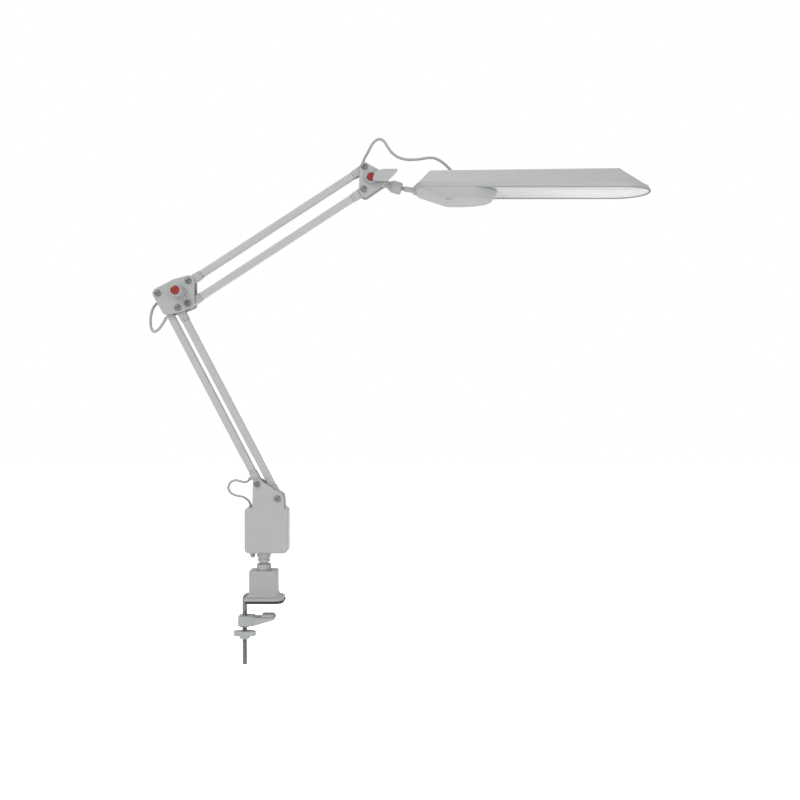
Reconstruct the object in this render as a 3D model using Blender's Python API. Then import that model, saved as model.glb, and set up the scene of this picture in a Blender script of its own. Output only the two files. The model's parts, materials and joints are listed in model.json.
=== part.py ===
"""Swing arm desk lamp with a table clamp: every piece as its own closed solid.

The frame has +X towards the lamp head, +Y away from the viewer and +Z up. The origin is the point
on the swivel axis at the underside of the table pad. Lengths are in metres.
"""
import math

import bmesh
import bpy
from mathutils import Vector
from mathutils.geometry import tessellate_polygon

MM = 0.001
GAP = 0.3 * MM              # clearance between pieces that touch

# --- driving dimensions -------------------------------------------------------------------------
# table clamp
PAD_TOP = 3.4 * MM
FOOT_LEFT, FOOT_RIGHT = -30.5 * MM, 34.5 * MM
FOOT_HALF_DEPTH = 26 * MM
FOOT_CORNER = 13 * MM
FOOT_LIP = 8.7 * MM          # top of the foot's flat edge
PAD_LEFT, PAD_RIGHT = -28.4 * MM, 35.2 * MM
FOOT_TOP = 15.5 * MM
SOCKET_HALF_WIDTH, SOCKET_HALF_DEPTH = 23.6 * MM, 15.5 * MM
SOCKET_CORNER = 5 * MM
SOCKET_TOP = 53.2 * MM
ROD_X = -32.7 * MM
ROD_RADIUS = 4.0 * MM
ROD_BOTTOM = -107 * MM
ROD_BEND_Z = 3.4 * MM       # where the rod starts to bend into the foot
ROD_BEND_RADIUS = 6.7 * MM
ROD_HOOK_END = -15 * MM
JAW_TOP, JAW_BOTTOM = -24.2 * MM, -40.8 * MM
JAW_LEFT, JAW_RIGHT = -42.5 * MM, 19.4 * MM
JAW_HALF_DEPTH = 11 * MM
JAW_PAD_LEFT, JAW_PAD_RIGHT = -3 * MM, 17.2 * MM
JAW_PAD_TOP = -21.4 * MM
NUT_TOP, NUT_BOTTOM = -50.5 * MM, -63.4 * MM
# swivel
BUSH_COLLAR_RADIUS = 12.3 * MM
BUSH_COLLAR_TOP = 63.5 * MM
SPINDLE_RADIUS = 7.4 * MM
SPINDLE_RING_RADIUS = 10.2 * MM
SPINDLE_FLANGE_RADIUS = 11.8 * MM
SPINDLE_BOTTOM = 20 * MM
# driver box
BOX_LEFT, BOX_RIGHT = -31.2 * MM, 42.4 * MM
BOX_BOTTOM, BOX_TOP = 82.5 * MM, 160.8 * MM
BOX_HALF_DEPTH = 18 * MM
BOX_CORNER = 8 * MM
BOX_WALL = 2.0 * MM
# arms
BAR_SIZE = 12 * MM
BAR_WALL = 1.2 * MM
BAR_CORNER = 1.8 * MM
FITTING_SIZE = 13 * MM
FITTING_RADIUS = 7 * MM
FITTING_REACH = 24 * MM     # pivot to the end of the part that stands outside the bar
FITTING_TONGUE = 16 * MM    # length of the tongue inside the bar
LOWER_ARM = 363 * MM
LOWER_ANGLE = 117.7         # degrees from +X towards +Z, in the rest pose
UPPER_ARM = 353.6 * MM
UPPER_ANGLE = 33.04
PLATE_INNER, PLATE_OUTER = 7.8 * MM, 12.8 * MM
SHANK_RADIUS = 3.0 * MM
SCREW_HEAD_RADIUS = 5.0 * MM
SCREW_HEAD_HEIGHT = 3.0 * MM
# pivots, as (x, z) in the arm plane
BASE_OUTER = (-8.8 * MM, 200.2 * MM)
LOWER_OFFSET = (34.1 * MM, -24.4 * MM)      # outer pivot to inner pivot, at both ends of the lower arm
UPPER_OFFSET = (-1.0 * MM, -38.4 * MM)      # top pivot to bottom pivot, at both ends of the upper arm
ELBOW_STEP = (52.0 * MM, 21.0 * MM)         # lower arm's outer pivot to upper arm's top pivot
ELBOW_KNOB_STEP = (36.4 * MM, 1.9 * MM)     # lower arm's outer pivot to the elbow knob
TILT_STEP = (11.4 * MM, -19.4 * MM)         # bracket's top pivot to the head tilt axis
# neck
KNUCKLE_ANGLE = -17.4
BALL_DISTANCE = 45 * MM
BALL_RADIUS = 6.5 * MM
NECK_ANGLE = -9.0
NECK_RADIUS = 4.7 * MM
COLLAR_RADIUS = 10.5 * MM
# head, as distances from the world origin in the rest pose
HEAD_TIP = 657 * MM
NOSE, TIP = 18 * MM, 52 * MM              # how far the head's round ends reach along it
COVER_TIP = 55 * MM
HEAD_HALF_WIDTH = 45 * MM
RIM_Z, CREASE_Z = 694.5 * MM, 701.6 * MM
ROOF_Z_NECK, ROOF_Z_TIP = 725.0 * MM, 729.0 * MM
COVER_BOTTOM = 677.5 * MM
SHELL_WALL = 1.8 * MM
CABLE_RADIUS = 2.2 * MM
BASE_CABLE_RADIUS = 2.0 * MM

# Routes of the three cable loops, as (x, y, z) in millimetres, from where each cable comes out.
BASE_CABLE_ROUTE = [
    (-23.4, 0, 165.0), (-27.8, 0, 171.5), (-36.0, 0, 176.8), (-46.0, 0, 178.8), (-56.3, 0, 183.4),
    (-60.8, 0, 192.5), (-56.6, 0, 201.8), (-48.0, 0, 205.0), (-40.0, 0, 203.3), (-33.2, 0, 201.6),
    (-28.9, 0, 202.6), (-26.4, 0, 205.2),
]
ELBOW_CABLE_ROUTE = [
    (-165.8, 0, 482.6), (-172.0, 0.5, 471.5), (-180.0, 2, 461.5), (-188.6, 5, 458.0), (-194.4, 8, 466.0),
    (-195.9, 11, 481.0), (-193.8, 14, 496.0), (-189.2, 18, 505.5), (-182.6, 20, 511.0),
    (-177.0, 18.6, 512.4), (-175.0, 15.0, 512.6),
]
HEAD_CABLE_ROUTE = [
    (167.0, 14.8, 740.0), (166.6, 18, 742.0), (166.4, 19.5, 747.0), (170.6, 18, 758.0),
    (178.0, 15, 770.5), (185.2, 12, 782.0), (194.3, 9, 787.6), (203.0, 7, 784.3), (209.2, 6, 775.0),
    (216.4, 5, 764.6), (226.6, 4, 756.2), (242.0, 3, 751.2), (262.0, 2, 751.3), (280.0, 1, 753.6),
    (291.5, 0.5, 752.3), (303.0, 0, 746.0), (312.6, 0, 737.5), (319.0, 0, 730.4),
]


def plus(point, step, scale=1.0):
    return (point[0] + step[0] * scale, point[1] + step[1] * scale)


def direction(angle):
    turn = math.radians(angle)
    return (math.cos(turn), math.sin(turn))


# --- pivots worked out from the driving dimensions -------------------------------------------------
LOWER_DIR = direction(LOWER_ANGLE)
UPPER_DIR = direction(UPPER_ANGLE)
BASE_INNER = plus(BASE_OUTER, LOWER_OFFSET)
ELBOW_OUTER = plus(BASE_OUTER, LOWER_DIR, LOWER_ARM)
ELBOW_INNER = plus(ELBOW_OUTER, LOWER_OFFSET)
ELBOW_TOP = plus(ELBOW_OUTER, ELBOW_STEP)
ELBOW_BOTTOM = plus(ELBOW_TOP, UPPER_OFFSET)
ELBOW_KNOB = plus(ELBOW_OUTER, ELBOW_KNOB_STEP)
BRACKET_TOP = plus(ELBOW_TOP, UPPER_DIR, UPPER_ARM)
BRACKET_BOTTOM = plus(BRACKET_TOP, UPPER_OFFSET)
TILT = plus(BRACKET_TOP, TILT_STEP)
KNUCKLE_DIR = direction(KNUCKLE_ANGLE)
NECK_DIR = direction(NECK_ANGLE)
BALL = plus(TILT, KNUCKLE_DIR, BALL_DISTANCE)

FINISHES = {                # slot: (colour, roughness, metallic)
    "grey_shell": ((0.53, 0.54, 0.535), 0.42, 0.0),
    "grey_casting": ((0.47, 0.49, 0.48), 0.5, 0.0),
    "jaw_casting": ((0.40, 0.42, 0.41), 0.5, 0.0),
    "bar_paint": ((0.52, 0.535, 0.53), 0.38, 0.0),
    "black_rubber": ((0.01, 0.012, 0.012), 0.75, 0.0),
    "zinc_steel": ((0.45, 0.45, 0.44), 0.28, 1.0),
    "dark_steel": ((0.16, 0.17, 0.17), 0.3, 1.0),
    "red_cap": ((0.28, 0.012, 0.008), 0.15, 0.0),
    "grey_cable": ((0.47, 0.48, 0.47), 0.5, 0.0),
    "nylon": ((0.5, 0.51, 0.5), 0.45, 0.0),
    "diffuser": ((0.86, 0.87, 0.9), 0.35, 0.0),
    "circuit_board": ((0.04, 0.2, 0.08), 0.5, 0.0),
    "aluminium": ((0.6, 0.6, 0.6), 0.35, 1.0),
    "transformer": ((0.35, 0.3, 0.08), 0.5, 0.0),
}


# --- making meshes ----------------------------------------------------------------------------------
def finish(slot):
    """The slot's Principled material, made once."""
    made = bpy.data.materials.get(slot)
    if made:
        return made
    colour, roughness, metallic = FINISHES[slot]
    made = bpy.data.materials.new(slot)
    made.use_nodes = True
    shader = made.node_tree.nodes["Principled BSDF"]
    shader.inputs["Base Color"].default_value = (*colour, 1.0)
    shader.inputs["Roughness"].default_value = roughness
    shader.inputs["Metallic"].default_value = metallic
    made.diffuse_color = (*colour, 1.0)
    return made


def body(name, pivot=(0.0, 0.0)):
    """An empty on a moving body's joint axis; the body's pieces are its children."""
    empty = bpy.data.objects.new(name, None)
    empty.location = (pivot[0], 0.0, pivot[1])
    bpy.context.collection.objects.link(empty)
    return empty


def add(name, bm, slot, parent, smooth_angle=35.0):
    """Makes the piece's object from a mesh in world coordinates, with its origin at the parent's."""
    bmesh.ops.recalc_face_normals(bm, faces=bm.faces)
    bmesh.ops.translate(bm, verts=bm.verts, vec=-parent.location)
    mesh = bpy.data.meshes.new(name)
    bm.to_mesh(mesh)
    bm.free()
    mesh.materials.append(finish(slot))
    mesh.shade_smooth()
    mesh.set_sharp_from_angle(angle=math.radians(smooth_angle))
    piece = bpy.data.objects.new(name, mesh)
    piece.parent = parent
    bpy.context.collection.objects.link(piece)
    return piece


def boolean(piece, operation, bm):
    """Cuts a shape out of the piece, or joins it on, with a live modifier."""
    tool = add(f"{piece.name}_tool_{len(piece.modifiers)}", bm, "nylon", piece.parent)
    tool.hide_render = True
    tool.display_type = "WIRE"
    modifier = piece.modifiers.new(operation.title(), "BOOLEAN")
    modifier.operation = operation
    modifier.object = tool
    return piece


def arc(centre, radius, start, end, steps):
    """Points on an arc, in degrees, both ends included."""
    turns = [math.radians(start + (end - start) * i / steps) for i in range(steps + 1)]
    return [(centre[0] + radius * math.cos(t), centre[1] + radius * math.sin(t)) for t in turns]


def circle(centre, radius, steps=20):
    return arc(centre, radius, 0.0, 360.0, steps)[:-1]


def hull(points):
    """Convex hull of 2-D points, counter-clockwise."""
    points = sorted(set(points))

    def chain(ordered):
        kept = []
        for p in ordered:
            while len(kept) > 1:
                (ax, ay), (bx, by) = kept[-2], kept[-1]
                if (bx - ax) * (p[1] - ay) - (by - ay) * (p[0] - ax) > 1e-12:
                    break
                kept.pop()
            kept.append(p)
        return kept[:-1]

    return chain(points) + chain(points[::-1])


def round_plate(circles, steps=28):
    """The outline that wraps circles given as (centre, radius)."""
    points = []
    for centre, radius in circles:
        points += circle(centre, radius, steps)
    return hull(points)


def rounded_box(x0, x1, z0, z1, radius, steps=4):
    points = []
    corners = [(x1 - radius, z1 - radius, 0), (x0 + radius, z1 - radius, 90),
               (x0 + radius, z0 + radius, 180), (x1 - radius, z0 + radius, 270)]
    for x, z, start in corners:
        points += arc((x, z), radius, start, start + 90, steps)
    return points


def prism(outline, y0, y1, holes=()):
    """Extrudes an outline in (x, z), with holes, from y0 to y1."""
    bm = bmesh.new()
    loops = [list(outline)] + [list(hole) for hole in holes]
    flat = [[Vector((x, z, 0.0)) for x, z in loop] for loop in loops]
    triangles = tessellate_polygon(flat)
    near, far = [], []
    for loop in loops:
        for x, z in loop:
            near.append(bm.verts.new((x, y0, z)))
            far.append(bm.verts.new((x, y1, z)))
    for a, b, c in triangles:
        bm.faces.new((near[a], near[b], near[c]))
        bm.faces.new((far[a], far[c], far[b]))
    first = 0
    for loop in loops:
        count = len(loop)
        for i in range(count):
            a, b = first + i, first + (i + 1) % count
            bm.faces.new((near[a], near[b], far[b], far[a]))
        first += count
    return bm


def turned(profile, origin, axis, steps=24, closed=False):
    """Turns (radius, height) points about an axis; a closed profile makes a ring-shaped piece."""
    bm = bmesh.new()
    origin, axis = Vector(origin), Vector(axis).normalized()
    side = axis.cross(Vector((0.0, 1.0, 0.0)))
    if side.length < 0.1:
        side = axis.cross(Vector((1.0, 0.0, 0.0)))
    side.normalize()
    other = axis.cross(side)
    rings = []
    for radius, height in profile:
        centre = origin + axis * height
        if radius < 1e-7:
            rings.append([bm.verts.new(centre)])
            continue
        ring = []
        for i in range(steps):
            turn = 2 * math.pi * i / steps
            ring.append(bm.verts.new(centre + (side * math.cos(turn) + other * math.sin(turn)) * radius))
        rings.append(ring)
    pairs = list(zip(rings, rings[1:]))
    if closed:
        pairs.append((rings[-1], rings[0]))
    for lower, upper in pairs:
        if len(lower) + len(upper) > 2:
            join_rings(bm, lower, upper)
    for ring in (rings[0], rings[-1]):
        if not closed and len(ring) > 1:
            bm.faces.new(ring)
    return bm


def join_rings(bm, lower, upper):
    """Faces between two rings of the same count, or between a ring and one point."""
    count = max(len(lower), len(upper))
    for i in range(count):
        j = (i + 1) % count
        corners = []
        for vert in (lower[i % len(lower)], lower[j % len(lower)],
                     upper[j % len(upper)], upper[i % len(upper)]):
            if vert not in corners:
                corners.append(vert)
        bm.faces.new(corners)


def loft(rings, cap_start=True, cap_end=True, closed=False):
    """Skins rings of (x, y, z) points with the same count; closed joins the last to the first."""
    bm = bmesh.new()
    made = [[bm.verts.new(point) for point in ring] for ring in rings]
    pairs = list(zip(made, made[1:]))
    if closed:
        pairs.append((made[-1], made[0]))
    for lower, upper in pairs:
        join_rings(bm, lower, upper)
    if cap_start:
        bm.faces.new(made[0])
    if cap_end:
        bm.faces.new(made[-1])
    return bm


def across(point, y=0.0):
    """A point of the arm plane as (x, y, z)."""
    return (point[0], y, point[1])


def along(angle):
    """A direction in the arm plane as (x, y, z)."""
    x, z = direction(angle)
    return (x, 0.0, z)


def placed(outline, pivot, angle):
    """An outline drawn as (along, beside) from a pivot, turned to its place in the arm plane."""
    (dx, dz), (px, pz) = direction(angle), pivot
    return [(px + s * dx - t * dz, pz + s * dz + t * dx) for s, t in outline]


def plan_ring(x0, x1, half_depth, radius, z, steps=4):
    """A level ring with rounded corners."""
    return [(x, y, z) for x, y in rounded_box(x0, x1, -half_depth, half_depth, radius, steps)]


def upright(bm):
    """Turns a shape extruded along Y so that it is extruded along Z."""
    for vert in bm.verts:
        vert.co = Vector((vert.co.x, vert.co.z, vert.co.y))
    return bm


# --- table clamp ------------------------------------------------------------------------------------
def rod_path(bottom):
    points = [(ROD_X, 0.0, bottom)]
    bend = (ROD_X + ROD_BEND_RADIUS, ROD_BEND_Z)
    points += [across(p) for p in arc(bend, ROD_BEND_RADIUS, 180, 90, 6)]
    points.append((ROD_HOOK_END, 0.0, ROD_BEND_Z + ROD_BEND_RADIUS))
    return points


def swept(points, radius, steps=16):
    """A round bar along points of the arm plane."""
    rings = []
    for i, point in enumerate(points):
        before = Vector(points[max(i - 1, 0)])
        after = Vector(points[min(i + 1, len(points) - 1)])
        ahead = (after - before).normalized()
        side = Vector((0.0, 1.0, 0.0))
        other = ahead.cross(side)
        ring = []
        for j in range(steps):
            turn = 2 * math.pi * j / steps
            ring.append(Vector(point) + (side * math.cos(turn) + other * math.sin(turn)) * radius)
        rings.append(ring)
    return loft(rings)


def make_clamp(clamp):
    bush_bore = SPINDLE_RADIUS + GAP
    bush_outer = bush_bore + 3.2 * MM
    half, deep, corner = SOCKET_HALF_WIDTH, SOCKET_HALF_DEPTH, SOCKET_CORNER
    levels = [
        # left, right, half depth, corner radius, height
        (FOOT_LEFT + 1 * MM, FOOT_RIGHT - 1 * MM, FOOT_HALF_DEPTH - 1 * MM, FOOT_CORNER, PAD_TOP + GAP),
        (FOOT_LEFT, FOOT_RIGHT, FOOT_HALF_DEPTH, FOOT_CORNER, PAD_TOP + 1.5 * MM),
        (FOOT_LEFT, FOOT_RIGHT - 0.6 * MM, FOOT_HALF_DEPTH, FOOT_CORNER, FOOT_LIP),
        (FOOT_LEFT + 2 * MM, half + 5.6 * MM, deep + 2.4 * MM, corner + 5 * MM, FOOT_LIP + 1.4 * MM),
        (-half - 1 * MM, half + 2.2 * MM, deep + 1 * MM, corner + 2 * MM, FOOT_LIP + 4 * MM),
        (-half, half + 0.4 * MM, deep, corner, FOOT_LIP + 9 * MM),
        (-half, half, deep, corner, SOCKET_TOP - 1 * MM),
        (-half + 1 * MM, half - 1 * MM, deep - 1 * MM, corner - 1 * MM, SOCKET_TOP),
    ]
    rings = [plan_ring(*level) for level in levels]
    base = add("clamp_base", loft(rings), "grey_casting", clamp)
    bore = [(0.0, FOOT_TOP), (bush_outer + GAP, FOOT_TOP),
            (bush_outer + GAP, SOCKET_TOP + 2 * MM), (0.0, SOCKET_TOP + 2 * MM)]
    boolean(base, "DIFFERENCE", turned(bore, (0, 0, 0), (0, 0, 1)))
    boolean(base, "DIFFERENCE", swept(rod_path(-10 * MM), ROD_RADIUS + GAP))
    pad = [plan_ring(PAD_LEFT, PAD_RIGHT, FOOT_HALF_DEPTH + 0.5 * MM, FOOT_CORNER, z)
           for z in (0.0, PAD_TOP)]
    add("table_pad", loft(pad), "black_rubber", clamp)
    add("clamp_rod", swept(rod_path(ROD_BOTTOM), ROD_RADIUS), "zinc_steel", clamp)
    bush = [(bush_bore, FOOT_TOP + 2 * MM), (bush_outer, FOOT_TOP + 2 * MM),
            (bush_outer, SOCKET_TOP + GAP), (BUSH_COLLAR_RADIUS, SOCKET_TOP + GAP),
            (BUSH_COLLAR_RADIUS, BUSH_COLLAR_TOP - 1 * MM),
            (BUSH_COLLAR_RADIUS - 1 * MM, BUSH_COLLAR_TOP), (bush_bore, BUSH_COLLAR_TOP)]
    add("socket_bush", turned(bush, (0, 0, 0), (0, 0, 1), closed=True), "nylon", clamp)


def make_jaw(jaw):
    seat = JAW_TOP - 2.3 * MM
    outline = [(JAW_LEFT, JAW_TOP), (JAW_LEFT, JAW_BOTTOM), (-17.1 * MM, JAW_BOTTOM),
               (JAW_RIGHT, JAW_TOP - 1 * MM), (JAW_RIGHT, JAW_TOP), (JAW_PAD_RIGHT + 0.4 * MM, JAW_TOP),
               (JAW_PAD_RIGHT + 0.4 * MM, seat), (-16 * MM, seat), (-18 * MM, JAW_TOP)]
    piece = add("lower_jaw", prism(outline, -JAW_HALF_DEPTH, JAW_HALF_DEPTH), "jaw_casting", jaw)
    bevel = piece.modifiers.new("Bevel", "BEVEL")
    bevel.width = 0.8 * MM
    bevel.segments = 1
    bevel.limit_method = "ANGLE"
    hole = [(0.0, JAW_BOTTOM - 5 * MM), (ROD_RADIUS + GAP, JAW_BOTTOM - 5 * MM),
            (ROD_RADIUS + GAP, 0.0), (0.0, 0.0)]
    boolean(piece, "DIFFERENCE", turned(hole, (ROD_X, 0, 0), (0, 0, 1)))
    ribs = 5
    pitch = (JAW_PAD_RIGHT - JAW_PAD_LEFT) / ribs
    top = []
    for i in range(ribs):
        x = JAW_PAD_LEFT + i * pitch
        top += [(x, JAW_PAD_TOP - 1.2 * MM), (x + 0.2 * pitch, JAW_PAD_TOP),
                (x + 0.7 * pitch, JAW_PAD_TOP), (x + 0.9 * pitch, JAW_PAD_TOP - 1.2 * MM)]
    outline = [(JAW_PAD_LEFT, seat + GAP)] + top + [(JAW_PAD_RIGHT, seat + GAP)]
    add("jaw_pad", prism(outline, -JAW_HALF_DEPTH + 1 * MM, JAW_HALF_DEPTH - 1 * MM), "nylon", jaw)
    high, low = JAW_BOTTOM - GAP, JAW_BOTTOM - 2.4 * MM
    washer = [(ROD_RADIUS + GAP, low), (9 * MM, low), (9 * MM, high), (ROD_RADIUS + GAP, high)]
    add("thrust_washer", turned(washer, (ROD_X, 0, 0), (0, 0, 1), closed=True), "zinc_steel", jaw)


def make_wing_nut(nut):
    wing_radius, wing_reach, hub_radius = 5 * MM, 14 * MM, 9.2 * MM
    outline = round_plate([((ROD_X - wing_reach, 0.0), wing_radius), ((ROD_X, 0.0), hub_radius),
                           ((ROD_X + wing_reach, 0.0), wing_radius)], 16)
    hole = circle((ROD_X, 0.0), ROD_RADIUS + GAP, 16)
    wings = upright(prism(outline, NUT_TOP - 8.8 * MM, NUT_TOP, [hole]))
    piece = add("wing_nut", wings, "jaw_casting", nut)
    hub = [(ROD_RADIUS + GAP, NUT_BOTTOM), (hub_radius - 1 * MM, NUT_BOTTOM),
           (hub_radius, NUT_BOTTOM + 1 * MM), (hub_radius, NUT_TOP - 4 * MM),
           (ROD_RADIUS + GAP, NUT_TOP - 4 * MM)]
    boolean(piece, "UNION", turned(hub, (ROD_X, 0, 0), (0, 0, 1), 16, closed=True))


# --- turret -----------------------------------------------------------------------------------------
def make_turret(turret):
    ring_low = 67.1 * MM
    flange_low = 72.4 * MM
    spindle = [(0.0, SPINDLE_BOTTOM), (SPINDLE_RADIUS - 0.6 * MM, SPINDLE_BOTTOM),
               (SPINDLE_RADIUS, SPINDLE_BOTTOM + 0.6 * MM), (SPINDLE_RADIUS, ring_low),
               (SPINDLE_RING_RADIUS, ring_low), (SPINDLE_RING_RADIUS, flange_low - 1 * MM),
               (SPINDLE_RING_RADIUS - 1 * MM, flange_low), (SPINDLE_FLANGE_RADIUS, flange_low + 4 * MM),
               (SPINDLE_FLANGE_RADIUS, BOX_BOTTOM - GAP), (0.0, BOX_BOTTOM - GAP)]
    add("spindle", turned(spindle, (0, 0, 0), (0, 0, 1)), "grey_casting", turret)
    for name, side in (("box_front_shell", -1), ("box_rear_shell", 1)):
        make_box_shell(name, side, turret)
    board_left, board_right = BOX_LEFT + 8 * MM, BOX_RIGHT - 8 * MM
    board = [(board_left, BOX_BOTTOM + 8 * MM), (board_right, BOX_BOTTOM + 8 * MM),
             (board_right, BOX_TOP - 18 * MM), (board_left, BOX_TOP - 18 * MM)]
    add("driver_board", prism(board, 8 * MM, 9.6 * MM), "circuit_board", turret)
    core = rounded_box(-14 * MM, 14 * MM, BOX_BOTTOM + 14 * MM, BOX_BOTTOM + 40 * MM, 2 * MM, 1)
    add("transformer", prism(core, -12 * MM, 8 * MM - GAP), "transformer", turret)
    gland_x = -19.2 * MM
    gland = [(0.0, BOX_BOTTOM - 8.4 * MM), (3.4 * MM, BOX_BOTTOM - 8.4 * MM),
             (4.9 * MM, BOX_BOTTOM - 6.4 * MM), (4.9 * MM, BOX_BOTTOM - GAP), (0.0, BOX_BOTTOM - GAP)]
    add("mains_gland", turned(gland, (gland_x, 0, 0), (0, 0, 1), 16), "nylon", turret)
    grommet = [(0.0, BOX_TOP - 4 * MM), (3 * MM, BOX_TOP - 4 * MM), (3 * MM, BOX_TOP + GAP),
               (4 * MM, BOX_TOP + GAP), (3.2 * MM, BOX_TOP + 2.6 * MM), (0.0, BOX_TOP + 2.6 * MM)]
    add("base_grommet", turned(grommet, (-22.4 * MM, 0, 0), (0, 0, 1), 16), "nylon", turret)
    for name, pivot in (("base_screw_outer", BASE_OUTER), ("base_screw_inner", BASE_INNER)):
        make_pivot_screw(name, pivot, BOX_HALF_DEPTH, turret)


def make_box_shell(name, side, turret):
    """Half of the driver box, with the ear that carries the lower arm's pivots."""
    def ring(inset, y):
        return [(x, side * y, z) for x, z in rounded_box(
            BOX_LEFT + inset, BOX_RIGHT - inset, BOX_BOTTOM + inset, BOX_TOP - inset,
            max(BOX_CORNER - inset, 1.5 * MM))]

    depth = BOX_HALF_DEPTH
    rings = [ring(4.5 * MM, depth), ring(1.3 * MM, depth - 1.3 * MM), ring(0.0, depth - 4.5 * MM),
             ring(0.0, GAP / 2), ring(BOX_WALL, GAP / 2), ring(BOX_WALL, depth - 5 * MM),
             ring(5.5 * MM, depth - BOX_WALL)]
    shell = add(name, loft(rings), "grey_shell", turret)
    outline = round_plate([(BASE_OUTER, 8 * MM), (BASE_INNER, 9.5 * MM), ((-9.5 * MM, 158 * MM), 8 * MM),
                           ((28 * MM, 158 * MM), 8 * MM)], 24)
    holes = [circle(pivot, SHANK_RADIUS + GAP, 16) for pivot in (BASE_OUTER, BASE_INNER)]
    ear = prism(outline, side * PLATE_INNER, side * (depth - 0.02 * MM), holes)
    boolean(shell, "UNION", ear)
    hole = [(0.0, BOX_TOP - 10 * MM), (3 * MM + GAP, BOX_TOP - 10 * MM),
            (3 * MM + GAP, BOX_TOP + 10 * MM), (0.0, BOX_TOP + 10 * MM)]
    boolean(shell, "DIFFERENCE", turned(hole, (-22.4 * MM, 0, 0), (0, 0, 1), 16))


def make_pivot_screw(name, pivot, face, parent):
    """A domed screw along Y whose head sits on the front face and whose shank ends in the rear one."""
    head = face + GAP
    profile = [(0.0, -face + 1 * MM), (SHANK_RADIUS, -face + 1 * MM), (SHANK_RADIUS, head),
               (SCREW_HEAD_RADIUS, head), (SCREW_HEAD_RADIUS, head + 1 * MM),
               (0.8 * SCREW_HEAD_RADIUS, head + 0.75 * SCREW_HEAD_HEIGHT),
               (0.45 * SCREW_HEAD_RADIUS, head + SCREW_HEAD_HEIGHT), (0.0, head + SCREW_HEAD_HEIGHT)]
    add(name, turned(profile, across(pivot), (0, -1, 0), 16), "dark_steel", parent)


# --- arms -------------------------------------------------------------------------------------------
def make_fitting(name, pivot, angle, parent, cable_boss=None):
    """The moulded end of a bar: an eye on the pivot and a tongue inside the tube."""
    half = FITTING_SIZE / 2
    sleeve = [(0.0, -half), (FITTING_REACH, -half), (FITTING_REACH, half), (0.0, half)]
    outline = hull(circle((0.0, 0.0), FITTING_RADIUS) + sleeve)
    hole = circle((0.0, 0.0), SHANK_RADIUS + GAP, 16)
    width = PLATE_INNER - GAP
    eye = prism(placed(outline, pivot, angle), -width, width, [placed(hole, pivot, angle)])
    piece = add(name, eye, "nylon", parent)
    inside = BAR_SIZE / 2 - BAR_WALL - GAP
    start, end = FITTING_REACH - 4 * MM, FITTING_REACH + FITTING_TONGUE
    tongue = [(start, -inside), (end, -inside), (end, inside), (start, inside)]
    boolean(piece, "UNION", prism(placed(tongue, pivot, angle), -inside, inside))
    if cable_boss:
        start, end = (Vector(across(point)) for point in cable_boss)
        boss = [(0.0, 0.0), (2.7 * MM, 0.0), (3.1 * MM, (end - start).length), (0.0, (end - start).length)]
        boolean(piece, "UNION", turned(boss, start, end - start, 12))


def make_bar(name, pivot, angle, length, parent):
    """A square tube between two end fittings, open at both ends."""
    def ring(half, radius, s):
        section = rounded_box(-half, half, -half, half, radius, 2)
        return [across(placed([(s, t)], pivot, angle)[0], y) for t, y in section]

    start, end = FITTING_REACH + GAP, length - FITTING_REACH - GAP
    outer, inner = BAR_SIZE / 2, BAR_SIZE / 2 - BAR_WALL
    inner_corner = BAR_CORNER - BAR_WALL
    rings = [ring(outer, BAR_CORNER, start), ring(outer, BAR_CORNER, end),
             ring(inner, inner_corner, end), ring(inner, inner_corner, start)]
    add(name, loft(rings, False, False, closed=True), "bar_paint", parent)


def make_arm(prefix, bars, angle, length):
    """bars: (name, pivot, body) for the two parallel bars of one arm."""
    for name, pivot, parent in bars:
        make_bar(f"{prefix}_bar_{name}", pivot, angle, length, parent)
        far = plus(pivot, direction(angle), length)
        boss = None
        if pivot == BASE_OUTER:
            boss = ((-25.9 * MM, 205.9 * MM), (-19.0 * MM, 214.0 * MM))
        make_fitting(f"{prefix}_{name}_near_end", pivot, angle, parent, boss)
        make_fitting(f"{prefix}_{name}_far_end", far, angle + 180, parent)


# --- joints' plates and knobs -----------------------------------------------------------------------
def make_plates(prefix, circles, pivots, bolt, parent):
    """Front and rear plates with their pivot screws."""
    outline = round_plate(circles)
    holes = [circle(pivot, SHANK_RADIUS + GAP, 16) for pivot in [*pivots.values(), bolt]]
    for name, side in (("front", -1), ("rear", 1)):
        plate = prism(outline, side * PLATE_INNER, side * PLATE_OUTER, holes)
        add(f"{prefix}_{name}_plate", plate, "grey_shell", parent)
    for name, pivot in pivots.items():
        make_pivot_screw(f"{prefix}_screw_{name}", pivot, PLATE_OUTER, parent)


def make_bolt(name, centre, reach, parent):
    """A bolt along Y, its head on the rear plate, its thread in the knob on the front."""
    head = -PLATE_OUTER - GAP
    profile = [(0.0, head - 4 * MM), (4.6 * MM, head - 4 * MM), (5.6 * MM, head - 3 * MM),
               (5.6 * MM, head), (SHANK_RADIUS, head), (SHANK_RADIUS, reach), (0.0, reach)]
    add(name, turned(profile, across(centre), (0, -1, 0), 12), "dark_steel", parent)


def knob_profile(base_radius, front_radius, length, cap_radius):
    """From the seat on the plate to the cap's pocket, then back along the blind threaded hole."""
    bore, depth = SHANK_RADIUS + GAP, 0.6 * length
    return [(bore, 0.0), (base_radius, 0.0), (base_radius, 0.15 * length),
            (front_radius + 0.8 * MM, 0.9 * length), (front_radius, length),
            (cap_radius + GAP, length), (cap_radius + GAP, length - 1.6 * MM), (0.0, length - 1.6 * MM),
            (0.0, depth), (bore, depth)]


def make_cap(name, centre, seat, radius, parent):
    profile = [(0.0, seat), (radius, seat), (radius, seat + 1.8 * MM),
               (0.85 * radius, seat + 2.6 * MM), (0.45 * radius, seat + 3.1 * MM),
               (0.0, seat + 3.2 * MM)]
    add(name, turned(profile, across(centre), (0, -1, 0), 20), "red_cap", parent)


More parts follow.
